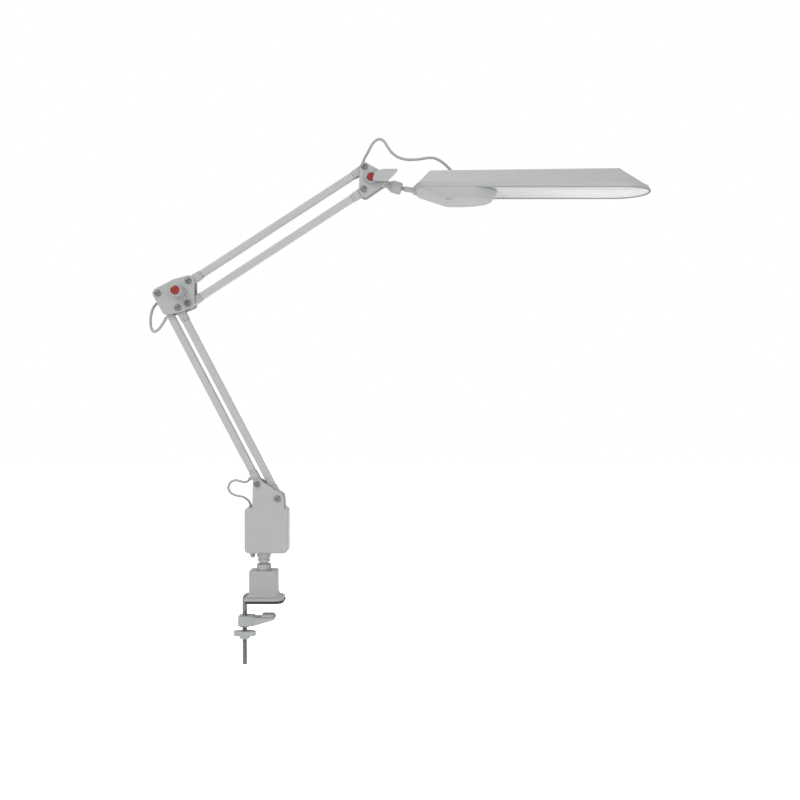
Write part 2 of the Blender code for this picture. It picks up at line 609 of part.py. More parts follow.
def make_elbow(elbow, knob):
    circles = [(ELBOW_OUTER, 9 * MM), (plus(ELBOW_KNOB, (-1 * MM, -1 * MM)), 24.5 * MM),
               (ELBOW_TOP, 9.5 * MM), (plus(ELBOW_BOTTOM, (3 * MM, 0.0)), 8 * MM),
               (ELBOW_INNER, 8.5 * MM), (plus(ELBOW_OUTER, (15.5 * MM, -27.6 * MM)), 9 * MM)]
    pivots = {"lower_outer": ELBOW_OUTER, "lower_inner": ELBOW_INNER,
              "upper_top": ELBOW_TOP, "upper_bottom": ELBOW_BOTTOM}
    make_plates("elbow", circles, pivots, ELBOW_KNOB, elbow)
    seat, length = PLATE_OUTER + GAP, 28 * MM
    make_bolt("elbow_bolt", ELBOW_KNOB, seat + 0.5 * length, elbow)
    cap_radius = 7.3 * MM
    profile = knob_profile(11.6 * MM, 9.4 * MM, length, cap_radius)
    spot = across(ELBOW_KNOB, -seat)
    add("elbow_knob", turned(profile, spot, (0, -1, 0), closed=True), "grey_shell", knob)
    make_cap("elbow_knob_cap", ELBOW_KNOB, seat + length - 1.6 * MM + GAP, cap_radius, knob)


def make_bracket(bracket, lever):
    circles = [(BRACKET_TOP, 7.6 * MM), (BRACKET_BOTTOM, 8.2 * MM),
               (plus(BRACKET_BOTTOM, (2 * MM, -5 * MM)), 8 * MM), (plus(TILT, (20 * MM, -3 * MM)), 8 * MM),
               (plus(TILT, (9 * MM, 7.5 * MM)), 8 * MM)]
    make_plates("bracket", circles, {"top": BRACKET_TOP, "bottom": BRACKET_BOTTOM}, TILT, bracket)
    seat, length = PLATE_OUTER + GAP, 8 * MM
    make_bolt("bracket_bolt", TILT, seat + 0.45 * length, bracket)
    cap_radius = 7.1 * MM
    profile = knob_profile(10 * MM, 9 * MM, length, cap_radius)
    hub = add("lever_knob", turned(profile, across(TILT, -seat), (0, -1, 0), closed=True),
              "grey_shell", lever)
    front = seat + length
    post = [(8.1 * MM, -6 * MM), (15 * MM, -8 * MM), (15 * MM, 8.6 * MM), (8.1 * MM, 6 * MM)]
    blade = [(3.6 * MM, -8.2 * MM), (28.6 * MM, -8.2 * MM), (43.2 * MM, 6.2 * MM),
             (45.2 * MM, 11.9 * MM), (20.6 * MM, 11.9 * MM), (7.8 * MM, 7.4 * MM), (3.8 * MM, -1.5 * MM)]
    boolean(hub, "UNION", prism(placed(post, TILT, 0), -front + 3 * MM, -front - 3 * MM))
    boolean(hub, "UNION", prism(placed(blade, TILT, 0), -front - 2.2 * MM, -front - 5.6 * MM))
    make_cap("lever_knob_cap", TILT, front - 1.6 * MM + GAP, cap_radius, lever)


# --- neck -------------------------------------------------------------------------------------------
def ball_arc(radius, centre, start, end, steps):
    """Profile points of a sphere; the angle is measured from the turning axis."""
    points = []
    for i in range(steps + 1):
        turn = math.radians(start + (end - start) * i / steps)
        points.append((radius * math.sin(turn), centre + radius * math.cos(turn)))
    return points


def make_neck(knuckle, collar, stud):
    width = PLATE_INNER - GAP
    barrel = [(SHANK_RADIUS + GAP, -width), (9 * MM, -width), (9 * MM, width), (SHANK_RADIUS + GAP, width)]
    piece = add("knuckle", turned(barrel, across(TILT), (0, -1, 0), closed=True), "grey_shell", knuckle)
    half = 5.6 * MM
    tongue = [(5 * MM, -half), (36 * MM, -half), (36 * MM, half), (5 * MM, half)]
    boolean(piece, "UNION", prism(placed(tongue, TILT, KNUCKLE_ANGLE), -half, half))
    seat = BALL_RADIUS + GAP
    cup = [(0.0, 33 * MM), (8.6 * MM, 33 * MM), (8.6 * MM, 49 * MM), (seat, 49 * MM)]
    cup += ball_arc(seat, BALL_DISTANCE, 90, 180, 5)
    cup[-1] = (0.0, BALL_DISTANCE - seat)
    boolean(piece, "UNION", turned(cup, across(TILT), along(KNUCKLE_ANGLE), 20))
    bore = [(0.0, -20 * MM), (SHANK_RADIUS + GAP, -20 * MM), (SHANK_RADIUS + GAP, 20 * MM), (0.0, 20 * MM)]
    boolean(piece, "DIFFERENCE", turned(bore, across(TILT), (0, -1, 0), 16))
    inner = 8.6 * MM + GAP
    ring = [(inner, 36.6 * MM), (COLLAR_RADIUS - 0.6 * MM, 36.6 * MM), (COLLAR_RADIUS, 37.4 * MM),
            (COLLAR_RADIUS, 52.6 * MM), (COLLAR_RADIUS - 1 * MM, 53.6 * MM), (8.4 * MM, 53.6 * MM),
            (5.7 * MM, 49.9 * MM), (5.7 * MM, 49 * MM + GAP), (inner, 49 * MM + GAP)]
    add("knurled_collar", turned(ring, across(TILT), along(KNUCKLE_ANGLE), 24, closed=True),
        "grey_shell", collar)
    thin = 3.2 * MM
    start = 180.0 - math.degrees(math.asin(thin / BALL_RADIUS))
    rod = ball_arc(BALL_RADIUS, 0.0, 180.0, 180.0 - start, 8)
    rod[0] = (0.0, -BALL_RADIUS)
    rod += [(thin, 12 * MM), (NECK_RADIUS, 14.5 * MM), (NECK_RADIUS, 60 * MM), (0.0, 60 * MM)]
    add("ball_stud", turned(rod, across(BALL), along(NECK_ANGLE), 16), "grey_shell", stud)


# --- head -------------------------------------------------------------------------------------------
def head_ring(x0, x1, half_width, z0, z1=None, nose=NOSE, tip=TIP):
    """A ring of the head: half an ellipse at the neck end and another at the tip."""
    z1 = z0 if z1 is None else z1
    flat = []
    for centre, reach, start, steps in ((x1 - tip, tip, -90, 14), (x0 + nose, nose, 90, 10)):
        for i in range(steps + 1):
            turn = math.radians(start + 180 * i / steps)
            flat.append((centre + reach * math.cos(turn), half_width * math.sin(turn)))
    return [(x, y, z0 + (z1 - z0) * (x - x0) / (x1 - x0)) for x, y in flat]


def hollow_loft(levels):
    """A shell open at its first level; each level is (x0, x1, half width, z0, z1, nose, tip, wall)."""
    outer, inner = [], []
    for x0, x1, half_width, z0, z1, nose, tip, wall in levels:
        outer.append(head_ring(x0, x1, half_width, z0, z1, nose, tip))
        inner.append(head_ring(x0 + wall, x1 - wall, half_width - wall, z0, z1, nose, tip))
    roof = [Vector(point) for point in inner[-1]]
    up = SHELL_WALL if roof[0].z > Vector(inner[0][0]).z else -SHELL_WALL
    inner[-1] = [point - Vector((0.0, 0.0, up)) for point in roof]
    return loft(outer[::-1] + inner)


def make_head(head, switch):
    half, wall = HEAD_HALF_WIDTH, SHELL_WALL
    levels = [
        (256 * MM, HEAD_TIP, half, RIM_Z, RIM_Z, NOSE, TIP, wall),
        (254 * MM, 653 * MM, half, CREASE_Z, CREASE_Z, NOSE, TIP, wall),
        (266 * MM, 628 * MM, 36.6 * MM, 712 * MM, 714 * MM, 9 * MM, 26 * MM, 1.7 * wall),
        (278 * MM, 603 * MM, 27 * MM, ROOF_Z_NECK, ROOF_Z_TIP, 4 * MM, 6 * MM, 1.7 * wall),
    ]
    shell = add("head_shell", hollow_loft(levels), "grey_shell", head)
    levels = [
        (256.5 * MM, 396 * MM, half, RIM_Z - GAP, RIM_Z - GAP, NOSE, COVER_TIP, wall),
        (259 * MM, 395.5 * MM, half, 692.5 * MM, 692.5 * MM, NOSE, COVER_TIP, wall),
        (285 * MM, 390.5 * MM, 42 * MM, 683.5 * MM, 683.5 * MM, 16 * MM, COVER_TIP, 2 * wall),
        (302 * MM, 386 * MM, 38.5 * MM, COVER_BOTTOM, COVER_BOTTOM, 14 * MM, 48 * MM, 2 * wall),
    ]
    cover = add("underside_cover", hollow_loft(levels), "grey_shell", head)
    passage = [(0.0, 20 * MM), (NECK_RADIUS + GAP, 20 * MM), (NECK_RADIUS + GAP, 44 * MM), (0.0, 44 * MM)]
    for piece in (shell, cover):
        boolean(piece, "DIFFERENCE", turned(passage, across(BALL), along(NECK_ANGLE), 16))
    cable_hole = [(0.0, 700 * MM), (3.4 * MM + GAP, 700 * MM), (3.4 * MM + GAP, 740 * MM), (0.0, 740 * MM)]
    grommet_spot = (320.6 * MM, 0.0, 0.0)
    boolean(shell, "DIFFERENCE", turned(cable_hole, grommet_spot, (0, 0, 1), 16))
    grommet = [(0.0, 720 * MM), (3.4 * MM, 720 * MM), (3.4 * MM, 726.2 * MM), (4.6 * MM, 726.2 * MM),
               (3.8 * MM, 728.4 * MM), (0.0, 728.4 * MM)]
    add("head_grommet", turned(grommet, grommet_spot, (0, 0, 1), 16), "nylon", head)
    inside = half - SHELL_WALL - 2 * GAP
    pane = [head_ring(345 * MM, HEAD_TIP - SHELL_WALL - 2 * MM, inside, z, nose=4 * MM, tip=TIP - 2 * MM)
            for z in (694.6 * MM, 696.8 * MM)]
    add("diffuser", loft(pane), "diffuser", head)
    strip = [head_ring(400 * MM, 596 * MM, 29 * MM, z, nose=2 * MM, tip=10 * MM)
             for z in (706.4 * MM, 708.0 * MM)]
    add("led_board", loft(strip), "circuit_board", head)
    plate = [head_ring(398 * MM, 598 * MM, 30 * MM, z, nose=2 * MM, tip=10 * MM)
             for z in (708.0 * MM + GAP, 711.0 * MM)]
    add("heat_spreader", loft(plate), "aluminium", head)
    block = [(271 * MM, 691.0 * MM), (292 * MM, 685.5 * MM), (292 * MM, 703 * MM), (271 * MM, 703 * MM)]
    holder = add("neck_socket", prism(block, -12 * MM, 12 * MM), "nylon", head)
    bore = [(0.0, 35 * MM), (NECK_RADIUS + GAP, 35 * MM), (NECK_RADIUS + GAP, 80 * MM), (0.0, 80 * MM)]
    boolean(holder, "DIFFERENCE", turned(bore, across(BALL), along(NECK_ANGLE), 16))
    switch_x, switch_y = 313 * MM, -25 * MM
    hole = [(0.0, 670 * MM), (5 * MM + GAP, 670 * MM), (5 * MM + GAP, 684 * MM), (0.0, 684 * MM)]
    boolean(cover, "DIFFERENCE", turned(hole, (switch_x, switch_y, 0.0), (0, 0, 1), 16))
    button = [(0.0, COVER_BOTTOM - 1.6 * MM), (4.2 * MM, COVER_BOTTOM - 1.6 * MM),
              (5 * MM, COVER_BOTTOM - 0.8 * MM), (5 * MM, COVER_BOTTOM + 4 * MM),
              (0.0, COVER_BOTTOM + 4 * MM)]
    add("switch_button", turned(button, (switch_x, switch_y, 0.0), (0, 0, 1), 16), "nylon", switch)


# --- cables -----------------------------------------------------------------------------------------
def smooth_route(route, spacing):
    """Evenly spaced points on a smooth curve through the route's points (centripetal Catmull-Rom)."""
    points = [Vector(point) * MM for point in route]
    ends = [points[0] * 2 - points[1]] + points + [points[-1] * 2 - points[-2]]
    fine = [points[0]]
    for p0, p1, p2, p3 in zip(ends, ends[1:], ends[2:], ends[3:]):
        for i in range(1, 21):
            t = i / 20
            fine.append(0.5 * (2 * p1 + (p2 - p0) * t + (2 * p0 - 5 * p1 + 4 * p2 - p3) * t ** 2
                               + (3 * p1 - p0 - 3 * p2 + p3) * t ** 3))
    length = sum((b - a).length for a, b in zip(fine, fine[1:]))
    count = max(8, round(length / spacing))
    even, walked, goal = [fine[0]], 0.0, length / count
    for a, b in zip(fine, fine[1:]):
        step = (b - a).length
        while walked + step >= goal * len(even) and len(even) < count:
            even.append(a.lerp(b, (goal * len(even) - walked) / step))
        walked += step
    return even + [fine[-1]]


def make_cable(name, route, radius, parent):
    points = smooth_route(route, 4 * radius)
    curve = bpy.data.curves.new(name, "CURVE")
    curve.dimensions = "3D"
    curve.bevel_depth = radius
    curve.bevel_resolution = 2
    curve.use_fill_caps = True
    spline = curve.splines.new("POLY")
    spline.points.add(len(points) - 1)
    for spot, point in zip(spline.points, points):
        spot.co = (*(point - parent.location), 1.0)
    curve.materials.append(finish("grey_cable"))
    cable = bpy.data.objects.new(name, curve)
    cable.parent = parent
    bpy.context.collection.objects.link(cable)


def main():
    for old in list(bpy.data.objects):
        bpy.data.objects.remove(old)
    clamp = body("clamp_body")
    turret = body("turret_body")
    jaw = body("jaw_body", (ROD_X, 0.0))
    nut = body("wing_nut_body", (ROD_X, 0.0))
    lower_outer = body("lower_outer_body", BASE_OUTER)
    lower_inner = body("lower_inner_body", BASE_INNER)
    elbow = body("elbow_body", ELBOW_OUTER)
    elbow_knob = body("elbow_knob_body", ELBOW_KNOB)
    upper_top = body("upper_top_body", ELBOW_TOP)
    upper_bottom = body("upper_bottom_body", ELBOW_BOTTOM)
    bracket = body("bracket_body", BRACKET_TOP)
    lever = body("lever_knob_body", TILT)
    knuckle = body("knuckle_body", TILT)
    collar = body("collar_body", TILT)
    stud = body("stud_body", BALL)
    head = body("head_body", BALL)
    switch = body("switch_body", (313 * MM, COVER_BOTTOM))
    make_clamp(clamp)
    make_jaw(jaw)
    make_wing_nut(nut)
    make_turret(turret)
    make_arm("lower", [("outer", BASE_OUTER, lower_outer), ("inner", BASE_INNER, lower_inner)],
             LOWER_ANGLE, LOWER_ARM)
    make_elbow(elbow, elbow_knob)
    make_arm("upper", [("top", ELBOW_TOP, upper_top), ("bottom", ELBOW_BOTTOM, upper_bottom)],
             UPPER_ANGLE, UPPER_ARM)
    make_bracket(bracket, lever)
    make_neck(knuckle, collar, stud)
    make_head(head, switch)
    make_cable("base_cable", BASE_CABLE_ROUTE, BASE_CABLE_RADIUS, turret)
    make_cable("elbow_cable", ELBOW_CABLE_ROUTE, CABLE_RADIUS, elbow)
    make_cable("head_cable", HEAD_CABLE_ROUTE, CABLE_RADIUS, bracket)


main()
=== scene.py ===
import json
import math

import bmesh
import bpy
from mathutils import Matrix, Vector


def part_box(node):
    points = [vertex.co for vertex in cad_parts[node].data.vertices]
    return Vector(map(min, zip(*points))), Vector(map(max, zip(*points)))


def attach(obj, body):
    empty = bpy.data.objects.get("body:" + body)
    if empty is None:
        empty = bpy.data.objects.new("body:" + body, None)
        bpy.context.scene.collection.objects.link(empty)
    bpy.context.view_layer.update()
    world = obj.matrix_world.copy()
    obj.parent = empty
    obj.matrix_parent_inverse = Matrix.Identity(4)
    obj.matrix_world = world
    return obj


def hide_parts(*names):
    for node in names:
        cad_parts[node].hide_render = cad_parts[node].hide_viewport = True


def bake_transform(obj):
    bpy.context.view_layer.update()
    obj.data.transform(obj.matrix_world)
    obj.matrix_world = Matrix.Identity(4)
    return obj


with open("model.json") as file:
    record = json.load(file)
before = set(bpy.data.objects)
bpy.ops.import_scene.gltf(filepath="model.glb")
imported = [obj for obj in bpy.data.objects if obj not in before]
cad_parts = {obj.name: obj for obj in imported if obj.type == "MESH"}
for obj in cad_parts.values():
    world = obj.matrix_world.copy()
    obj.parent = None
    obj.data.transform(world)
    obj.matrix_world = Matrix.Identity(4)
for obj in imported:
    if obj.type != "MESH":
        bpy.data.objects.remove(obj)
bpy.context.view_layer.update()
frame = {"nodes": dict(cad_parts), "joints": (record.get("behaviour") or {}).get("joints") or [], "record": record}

MM = 0.001
GAP = 0.3 * MM              # clearance between pieces that touch
UP = (0, 0, 1)
FRONT = (0, -1, 0)
JOINTS = {joint["name"]: joint for joint in frame["joints"]}

# The camera looks along +Y at the height of the arms' middle, from about 1.5 m.
CAMERA_SPOT = (231.2 * MM, -1500 * MM, 341.5 * MM)
CAMERA_LENS = 39.7
SPINDLE_RADIUS = 7.4 * MM
BUSH_RADIUS = 10.9 * MM
ROD_HOLE = 4.3 * MM
BOLT_HOLE = 3.3 * MM
FLOOR_DROP = 50 * MM        # the floor's depth below the clamp rod
FLOOR_GLOW = 0.35
SKY = 1.0
WHITE = (1.0, 1.0, 1.0, 1.0)
KEY_POWER = 62.0
TOP_POWER = 10.0
FILL_POWER = 34.0


def mm(*points):
    """Points given in millimetres, in metres."""
    return [tuple(value * MM for value in point) for point in points]


def lift(height, *points):
    """Profile points in millimetres above a height; a third value is the kind of ring."""
    return [(radius * MM, height + rise * MM, *kind) for radius, rise, *kind in points]


def circle(spot, radius, right=0, up=0):
    """A circle as (x, z, radius), so many millimetres from a spot in the arm plane."""
    return spot.x + right * MM, spot.z + up * MM, radius * MM


# --- places read from the frame ---
def centre(node):
    low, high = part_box(node)
    return (low + high) / 2


def size(node):
    low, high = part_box(node)
    return high - low


def pivot(joint):
    return Vector(JOINTS[joint]["pos_m"])


def axis(joint):
    return Vector(JOINTS[joint]["axis"]).normalized()


def body_of(node):
    bodies = frame["record"]["behaviour"]["bodies"]
    return next(name for name, nodes in bodies.items() if node in nodes)


# --- cables: where each lies, and what it crosses ---
# Routes as (x, y, z) in millimetres, from where each cable comes out.
BASE_CABLE_ROUTE = [
    (-23.4, 0, 165.0), (-27.8, 0, 171.5), (-36.0, 0, 176.8), (-46.0, 0, 178.8), (-56.3, 0, 183.4),
    (-60.8, 0, 192.5), (-56.6, 0, 201.8), (-48.0, 0, 205.0), (-40.0, 0, 203.3), (-33.2, 0, 201.6),
    (-28.9, 0, 202.6), (-26.4, 0, 205.2),
]
ELBOW_CABLE_ROUTE = [
    (-165.8, 0, 482.6), (-172.0, 0.5, 471.5), (-180.0, 2, 461.5), (-188.6, 5, 458.0), (-194.4, 8, 466.0),
    (-195.9, 11, 481.0), (-193.8, 14, 496.0), (-189.2, 18, 505.5), (-182.6, 20, 511.0),
    (-177.0, 18.6, 512.4), (-175.0, 15.0, 512.6),
]
HEAD_CABLE_ROUTE = [
    (167.0, 14.8, 740.0), (166.6, 18, 742.0), (166.4, 19.5, 747.0), (170.6, 18, 758.0),
    (178.0, 15, 770.5), (185.2, 12, 782.0), (194.3, 9, 787.6), (203.0, 7, 784.3), (209.2, 6, 775.0),
    (216.4, 5, 764.6), (226.6, 4, 756.2), (242.0, 3, 751.2), (262.0, 2, 751.3), (280.0, 1, 753.6),
    (291.5, 0.5, 752.3), (303.0, 0, 746.0), (312.6, 0, 737.5), (319.0, 0, 730.4),
]


def smooth_route(route):
    """Evenly spaced points on a smooth curve through the route's points."""
    spacing = 2.5 * MM
    points = [Vector(point) * MM for point in route]
    ends = [points[0] * 2 - points[1]] + points + [points[-1] * 2 - points[-2]]
    fine = [points[0]]
    for p0, p1, p2, p3 in zip(ends, ends[1:], ends[2:], ends[3:]):
        for i in range(1, 21):
            t = i / 20
            fine.append(0.5 * (2 * p1 + (p2 - p0) * t + (2 * p0 - 5 * p1 + 4 * p2 - p3) * t ** 2
                               + (3 * p1 - p0 - 3 * p2 + p3) * t ** 3))
    length = sum((b - a).length for a, b in zip(fine, fine[1:]))
    count = round(length / spacing)
    even, walked, goal = [fine[0]], 0.0, length / count
    for a, b in zip(fine, fine[1:]):
        step = (b - a).length
        while walked + step >= goal * len(even) and len(even) < count:
            even.append(a.lerp(b, (goal * len(even) - walked) / step))
        walked += step
    return even + [fine[-1]]


# --- making meshes ---
def piece(name, bm, look, body, *nodes, slot=None, sharp=35.0):
    """Makes an object of the mesh, which rides on the body and stands for the CAD nodes."""
    mesh = bpy.data.meshes.new(name)
    bmesh.ops.recalc_face_normals(bm, faces=bm.faces)
    bm.to_mesh(mesh)
    bm.free()
    mesh.materials.append(look)
    mesh.shade_smooth()
    mesh.set_sharp_from_angle(angle=math.radians(sharp))
    made = bpy.data.objects.new(name.replace(" ", "_"), mesh)
    bpy.context.collection.objects.link(made)
    if body:
        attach(made, body)
    if nodes:
        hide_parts(*nodes)
    return made


def arc(middle, radius, start, end, steps):
    turns = [math.radians(start + (end - start) * i / steps) for i in range(steps + 1)]
    return [(middle[0] + radius * math.cos(t), middle[1] + radius * math.sin(t)) for t in turns]


def join_rings(bm, lower, upper):
    count = max(len(lower), len(upper))
    for i in range(count):
        j = (i + 1) % count
        corners = []
        for vert in (lower[i % len(lower)], lower[j % len(lower)],
                     upper[j % len(upper)], upper[i % len(upper)]):
            if vert not in corners:
                corners.append(vert)
        if len(corners) > 2:
            bm.faces.new(corners)


def skin(rings, closed=False):
    """Skins rings of points and caps both ends; closed joins the last ring to the first instead."""
    bm = bmesh.new()
    made = [[bm.verts.new(point) for point in ring] for ring in rings]
    pairs = list(zip(made, made[1:]))
    if closed:
        pairs.append((made[-1], made[0]))
    for lower, upper in pairs:
        join_rings(bm, lower, upper)
    for ring in (made[0], made[-1]):
        if not closed and len(ring) > 2:
            bm.faces.new(ring)
    return bm


def basis(along):
    """Two directions square to the axis."""
    along = Vector(along).normalized()
    side = along.cross(Vector((0.0, 1.0, 0.0)))
    if side.length < 0.1:
        side = along.cross(Vector((1.0, 0.0, 0.0)))
    side.normalize()
    return along, side, along.cross(side)


def hexagon(turn):
    """How far a hexagon reaches at that turn, as a share of its corners' radius."""
    return math.cos(math.pi / 6) / math.cos(turn % (math.pi / 3) - math.pi / 6)


def turned(profile, origin, along, steps, closed=False, flutes=0, depth=0.0):
    """Turns (radius, height) points about an axis; a third value makes a "hex" or "fluted" ring."""
    along, side, other = basis(along)
    origin = Vector(origin)
    rings = []
    for radius, height, *kind in profile:
        if radius < 1e-7:
            rings.append([origin + along * height])
            continue
        ring = []
        for i in range(steps):
            turn = 2 * math.pi * i / steps
            reach = radius
            if kind == ["hex"]:
                reach *= hexagon(turn)
            if kind == ["fluted"]:
                reach -= depth * (0.5 - 0.5 * math.cos(turn * flutes)) ** 2
            ring.append(origin + along * height + (side * math.cos(turn) + other * math.sin(turn)) * reach)
        rings.append(ring)
    return skin(rings, closed=closed)


def bent(start, middle, end, steps):
    """Points on a quadratic curve, as tuples."""
    shares = [i / steps for i in range(steps + 1)]
    return [tuple(start * (1 - t) ** 2 + middle * 2 * t * (1 - t) + end * t ** 2) for t in shares]


def soft_corner(previous, corner, following, radius, steps):
    """Points that round the corner of a profile."""
    a = Vector(previous) - Vector(corner)
    b = Vector(following) - Vector(corner)
    reach = min(radius, 0.45 * a.length, 0.45 * b.length)
    start = Vector(corner) + a.normalized() * reach
    end = Vector(corner) + b.normalized() * reach
    return bent(start, Vector(corner), end, steps)


def rounded(profile, radius, closed=False):
    """A profile with its corners rounded; an open profile keeps its ends."""
    steps = 4
    count = len(profile)
    points = []
    for i, corner in enumerate(profile):
        if not closed and i in (0, count - 1):
            points.append(tuple(corner))
            continue
        points += soft_corner(profile[i - 1], corner, profile[(i + 1) % count], radius, steps)
    return points


def band(inner, outer, low, high, radius):
    """A rectangle with rounded corners."""
    return rounded([(inner, low), (outer, low), (outer, high), (inner, high)], radius, closed=True)


def tube(points, radius):
    """A round cable along the points."""
    steps = 20
    rings = []
    for i, point in enumerate(points):
        ahead = (points[min(i + 1, len(points) - 1)] - points[max(i - 1, 0)]).normalized()
        side = Vector((0.0, 1.0, 0.0))
        side = (side - ahead * side.dot(ahead)).normalized()
        other = ahead.cross(side)
        turns = [2 * math.pi * j / steps for j in range(steps)]
        rings.append([point + side * math.cos(t) * radius + other * math.sin(t) * radius for t in turns])
    return skin(rings)


def eased(made, width, segments=3, angle=30.0):
    """Rounds the piece's sharp edges."""
    bevel = made.modifiers.new("Edges", "BEVEL")
    bevel.width = width
    bevel.segments = segments
    bevel.limit_method = "ANGLE"
    bevel.angle_limit = math.radians(angle)
    bevel.harden_normals = True
    return made


def hull(points):
    """Convex hull of 2-D points, counter-clockwise."""
    points = sorted(set(points))

    def chain(ordered):
        kept = []
        for p in ordered:
            while len(kept) > 1:
                (ax, ay), (bx, by) = kept[-2], kept[-1]
                if (bx - ax) * (p[1] - ay) - (by - ay) * (p[0] - ax) > 1e-12:
                    break
                kept.pop()
            kept.append(p)
        return kept[:-1]

    return chain(points) + chain(points[::-1])


def wrapped(circles):
    """The outline that wraps circles given as (x, z, radius)."""
    steps = 72
    return hull([point for x, z, radius in circles for point in arc((x, z), radius, 0, 360, steps)[:-1]])


def round_box(x0, x1, z0, z1, radius, steps):
    points = []
    for x, z, start in ((x1 - radius, z1 - radius, 0), (x0 + radius, z1 - radius, 90),
                        (x0 + radius, z0 + radius, 180), (x1 - radius, z0 + radius, 270)):
        points += arc((x, z), radius, start, start + 90, steps)
    return points


def inset(outline, distance):
    """A smooth counter-clockwise outline drawn in by the distance."""
    count = len(outline)
    moved = []
    for i, (x, z) in enumerate(outline):
        edge = Vector(outline[(i + 1) % count]) - Vector(outline[i - 1])
        edge.normalize()
        moved.append((x - edge.y * distance, z + edge.x * distance))
    return moved


def slab(outline, y0, y1, edge, steps):
    """Extrudes a convex outline in (x, z) from y0 to y1, with rounded edges."""
    way = 1.0 if y1 > y0 else -1.0
    rings = []
    for i in range(steps + 1):
        turn = math.pi / 2 * i / steps
        rings.append((edge * (1 - math.sin(turn)), y0 + way * edge * (1 - math.cos(turn))))
    rings += [(draw, y0 + y1 - y) for draw, y in rings[::-1]]
    return skin([[(x, y, z) for x, z in inset(outline, draw)] for draw, y in rings])


def placed(outline, origin, along):
    """An outline drawn as (along, beside) from an origin, turned to its place in the arm plane."""
    return [(origin.x + s * along.x - t * along.z, origin.z + s * along.z + t * along.x)
            for s, t in outline]


def plan(x0, x1, half_depth, radius, z, steps, left=None):
    """A level ring with rounded corners, which may have a radius of their own on the left."""
    right = round_box(x0, x1, -half_depth, half_depth, radius, steps)
    other = round_box(x0, x1, -half_depth, half_depth, radius if left is None else left, steps)
    corner = steps + 1
    ring = right[:corner] + other[corner:3 * corner] + right[3 * corner:]
    return [(x, y, z) for x, y in ring]


def soften(levels, reach, steps=4):
    """Rounds the corners of a run of number tuples, such as the levels of a loft."""
    made = [levels[0]]
    for before, here, after in zip(levels, levels[1:], levels[2:]):
        a, b, c = (Vector(level) for level in (before, here, after))
        start = b + (a - b) * min(0.45, reach / (a - b).length)
        end = b + (c - b) * min(0.45, reach / (c - b).length)
        made += bent(start, b, end, steps)
    return made + [levels[-1]]


# --- materials ---
MIX_FACTOR, MIX_A, MIX_B, MIX_RESULT = 0, 6, 7, 2     # a Mix node's sockets for colours


def noise(tree, scale, detail, stretch=(1.0, 1.0, 1.0)):
    """Noise fixed to the piece, at so many cells in a metre."""
    place = tree.nodes.new("ShaderNodeTexCoord")
    mapping = tree.nodes.new("ShaderNodeMapping")
    mapping.inputs["Scale"].default_value = stretch
    texture = tree.nodes.new("ShaderNodeTexNoise")
    texture.inputs["Scale"].default_value = scale
    texture.inputs["Detail"].default_value = detail
    tree.links.new(place.outputs["Object"], mapping.inputs["Vector"])
    tree.links.new(mapping.outputs["Vector"], texture.inputs["Vector"])
    return texture.outputs["Fac"]


def map_range(tree, source, start, end, low, high):
    """Maps a range of a value onto another."""
    node = tree.nodes.new("ShaderNodeMapRange")
    for socket, value in (("From Min", start), ("From Max", end), ("To Min", low), ("To Max", high)):
        node.inputs[socket].default_value = value
    tree.links.new(source, node.inputs["Value"])
    return node.outputs["Result"]


def spread(tree, source, low, high):
    """Maps the middle of a noise onto a range."""
    return map_range(tree, source, 0.3, 0.7, low, high)


def material(name, colour, roughness, grain, metallic=0.0, patches=25.0, mottle=0.02, relief=0.00002,
             spots=0.05, stretch=(1.0, 1.0, 1.0)):
    """A Principled material: broad patches shift its colour and gloss, fine grain its surface."""
    made = bpy.data.materials.new(name)
    made.use_nodes = True
    tree = made.node_tree
    shader = tree.nodes["Principled BSDF"]
    shader.inputs["Metallic"].default_value = metallic
    broad = noise(tree, patches, 4.0)
    fine = noise(tree, grain, 2.0, stretch)
    mix = tree.nodes.new("ShaderNodeMix")
    mix.data_type = "RGBA"
    mix.inputs[MIX_A].default_value = (*[channel * (1 - mottle) for channel in colour], 1.0)
    mix.inputs[MIX_B].default_value = (*[channel * (1 + mottle) for channel in colour], 1.0)
    tree.links.new(spread(tree, broad, 0.0, 1.0), mix.inputs[MIX_FACTOR])
    tree.links.new(mix.outputs[MIX_RESULT], shader.inputs["Base Color"])
    gloss = tree.nodes.new("ShaderNodeMath")
    gloss.operation = "ADD"
    tree.links.new(spread(tree, broad, roughness - spots, roughness + spots), gloss.inputs[0])
    tree.links.new(spread(tree, fine, -spots / 2, spots / 2), gloss.inputs[1])
    tree.links.new(gloss.outputs[0], shader.inputs["Roughness"])
    bump = tree.nodes.new("ShaderNodeBump")
    bump.inputs["Strength"].default_value = 0.18
    bump.inputs["Distance"].default_value = relief
    tree.links.new(fine, bump.inputs["Height"])
    tree.links.new(bump.outputs["Normal"], shader.inputs["Normal"])
    return made


def shader_of(look):
    return look.node_tree.nodes["Principled BSDF"]


def moulded_shell():
    """Grey ABS with a fine spark-eroded grain."""
    return material("Moulded shell", (0.213, 0.219, 0.215), 0.42, grain=3200.0, relief=0.00003)


def grey_casting():
    """Painted die casting, a little rougher and darker than the mouldings."""
    return material("Painted casting", (0.195, 0.201, 0.198), 0.48, grain=1500.0, relief=0.00005,
                    mottle=0.03)


def jaw_casting():
    """Rougher painted casting with dull patches."""
    return material("Jaw casting", (0.198, 0.208, 0.203), 0.5, patches=60.0, mottle=0.05, grain=1200.0,
                    relief=0.00006, spots=0.09)


def bar_paint():
    """Powder coat: smooth, with a shallow orange peel."""
    return material("Bar powder coat", (0.236, 0.243, 0.24), 0.36, grain=700.0, relief=0.00002, mottle=0.015)


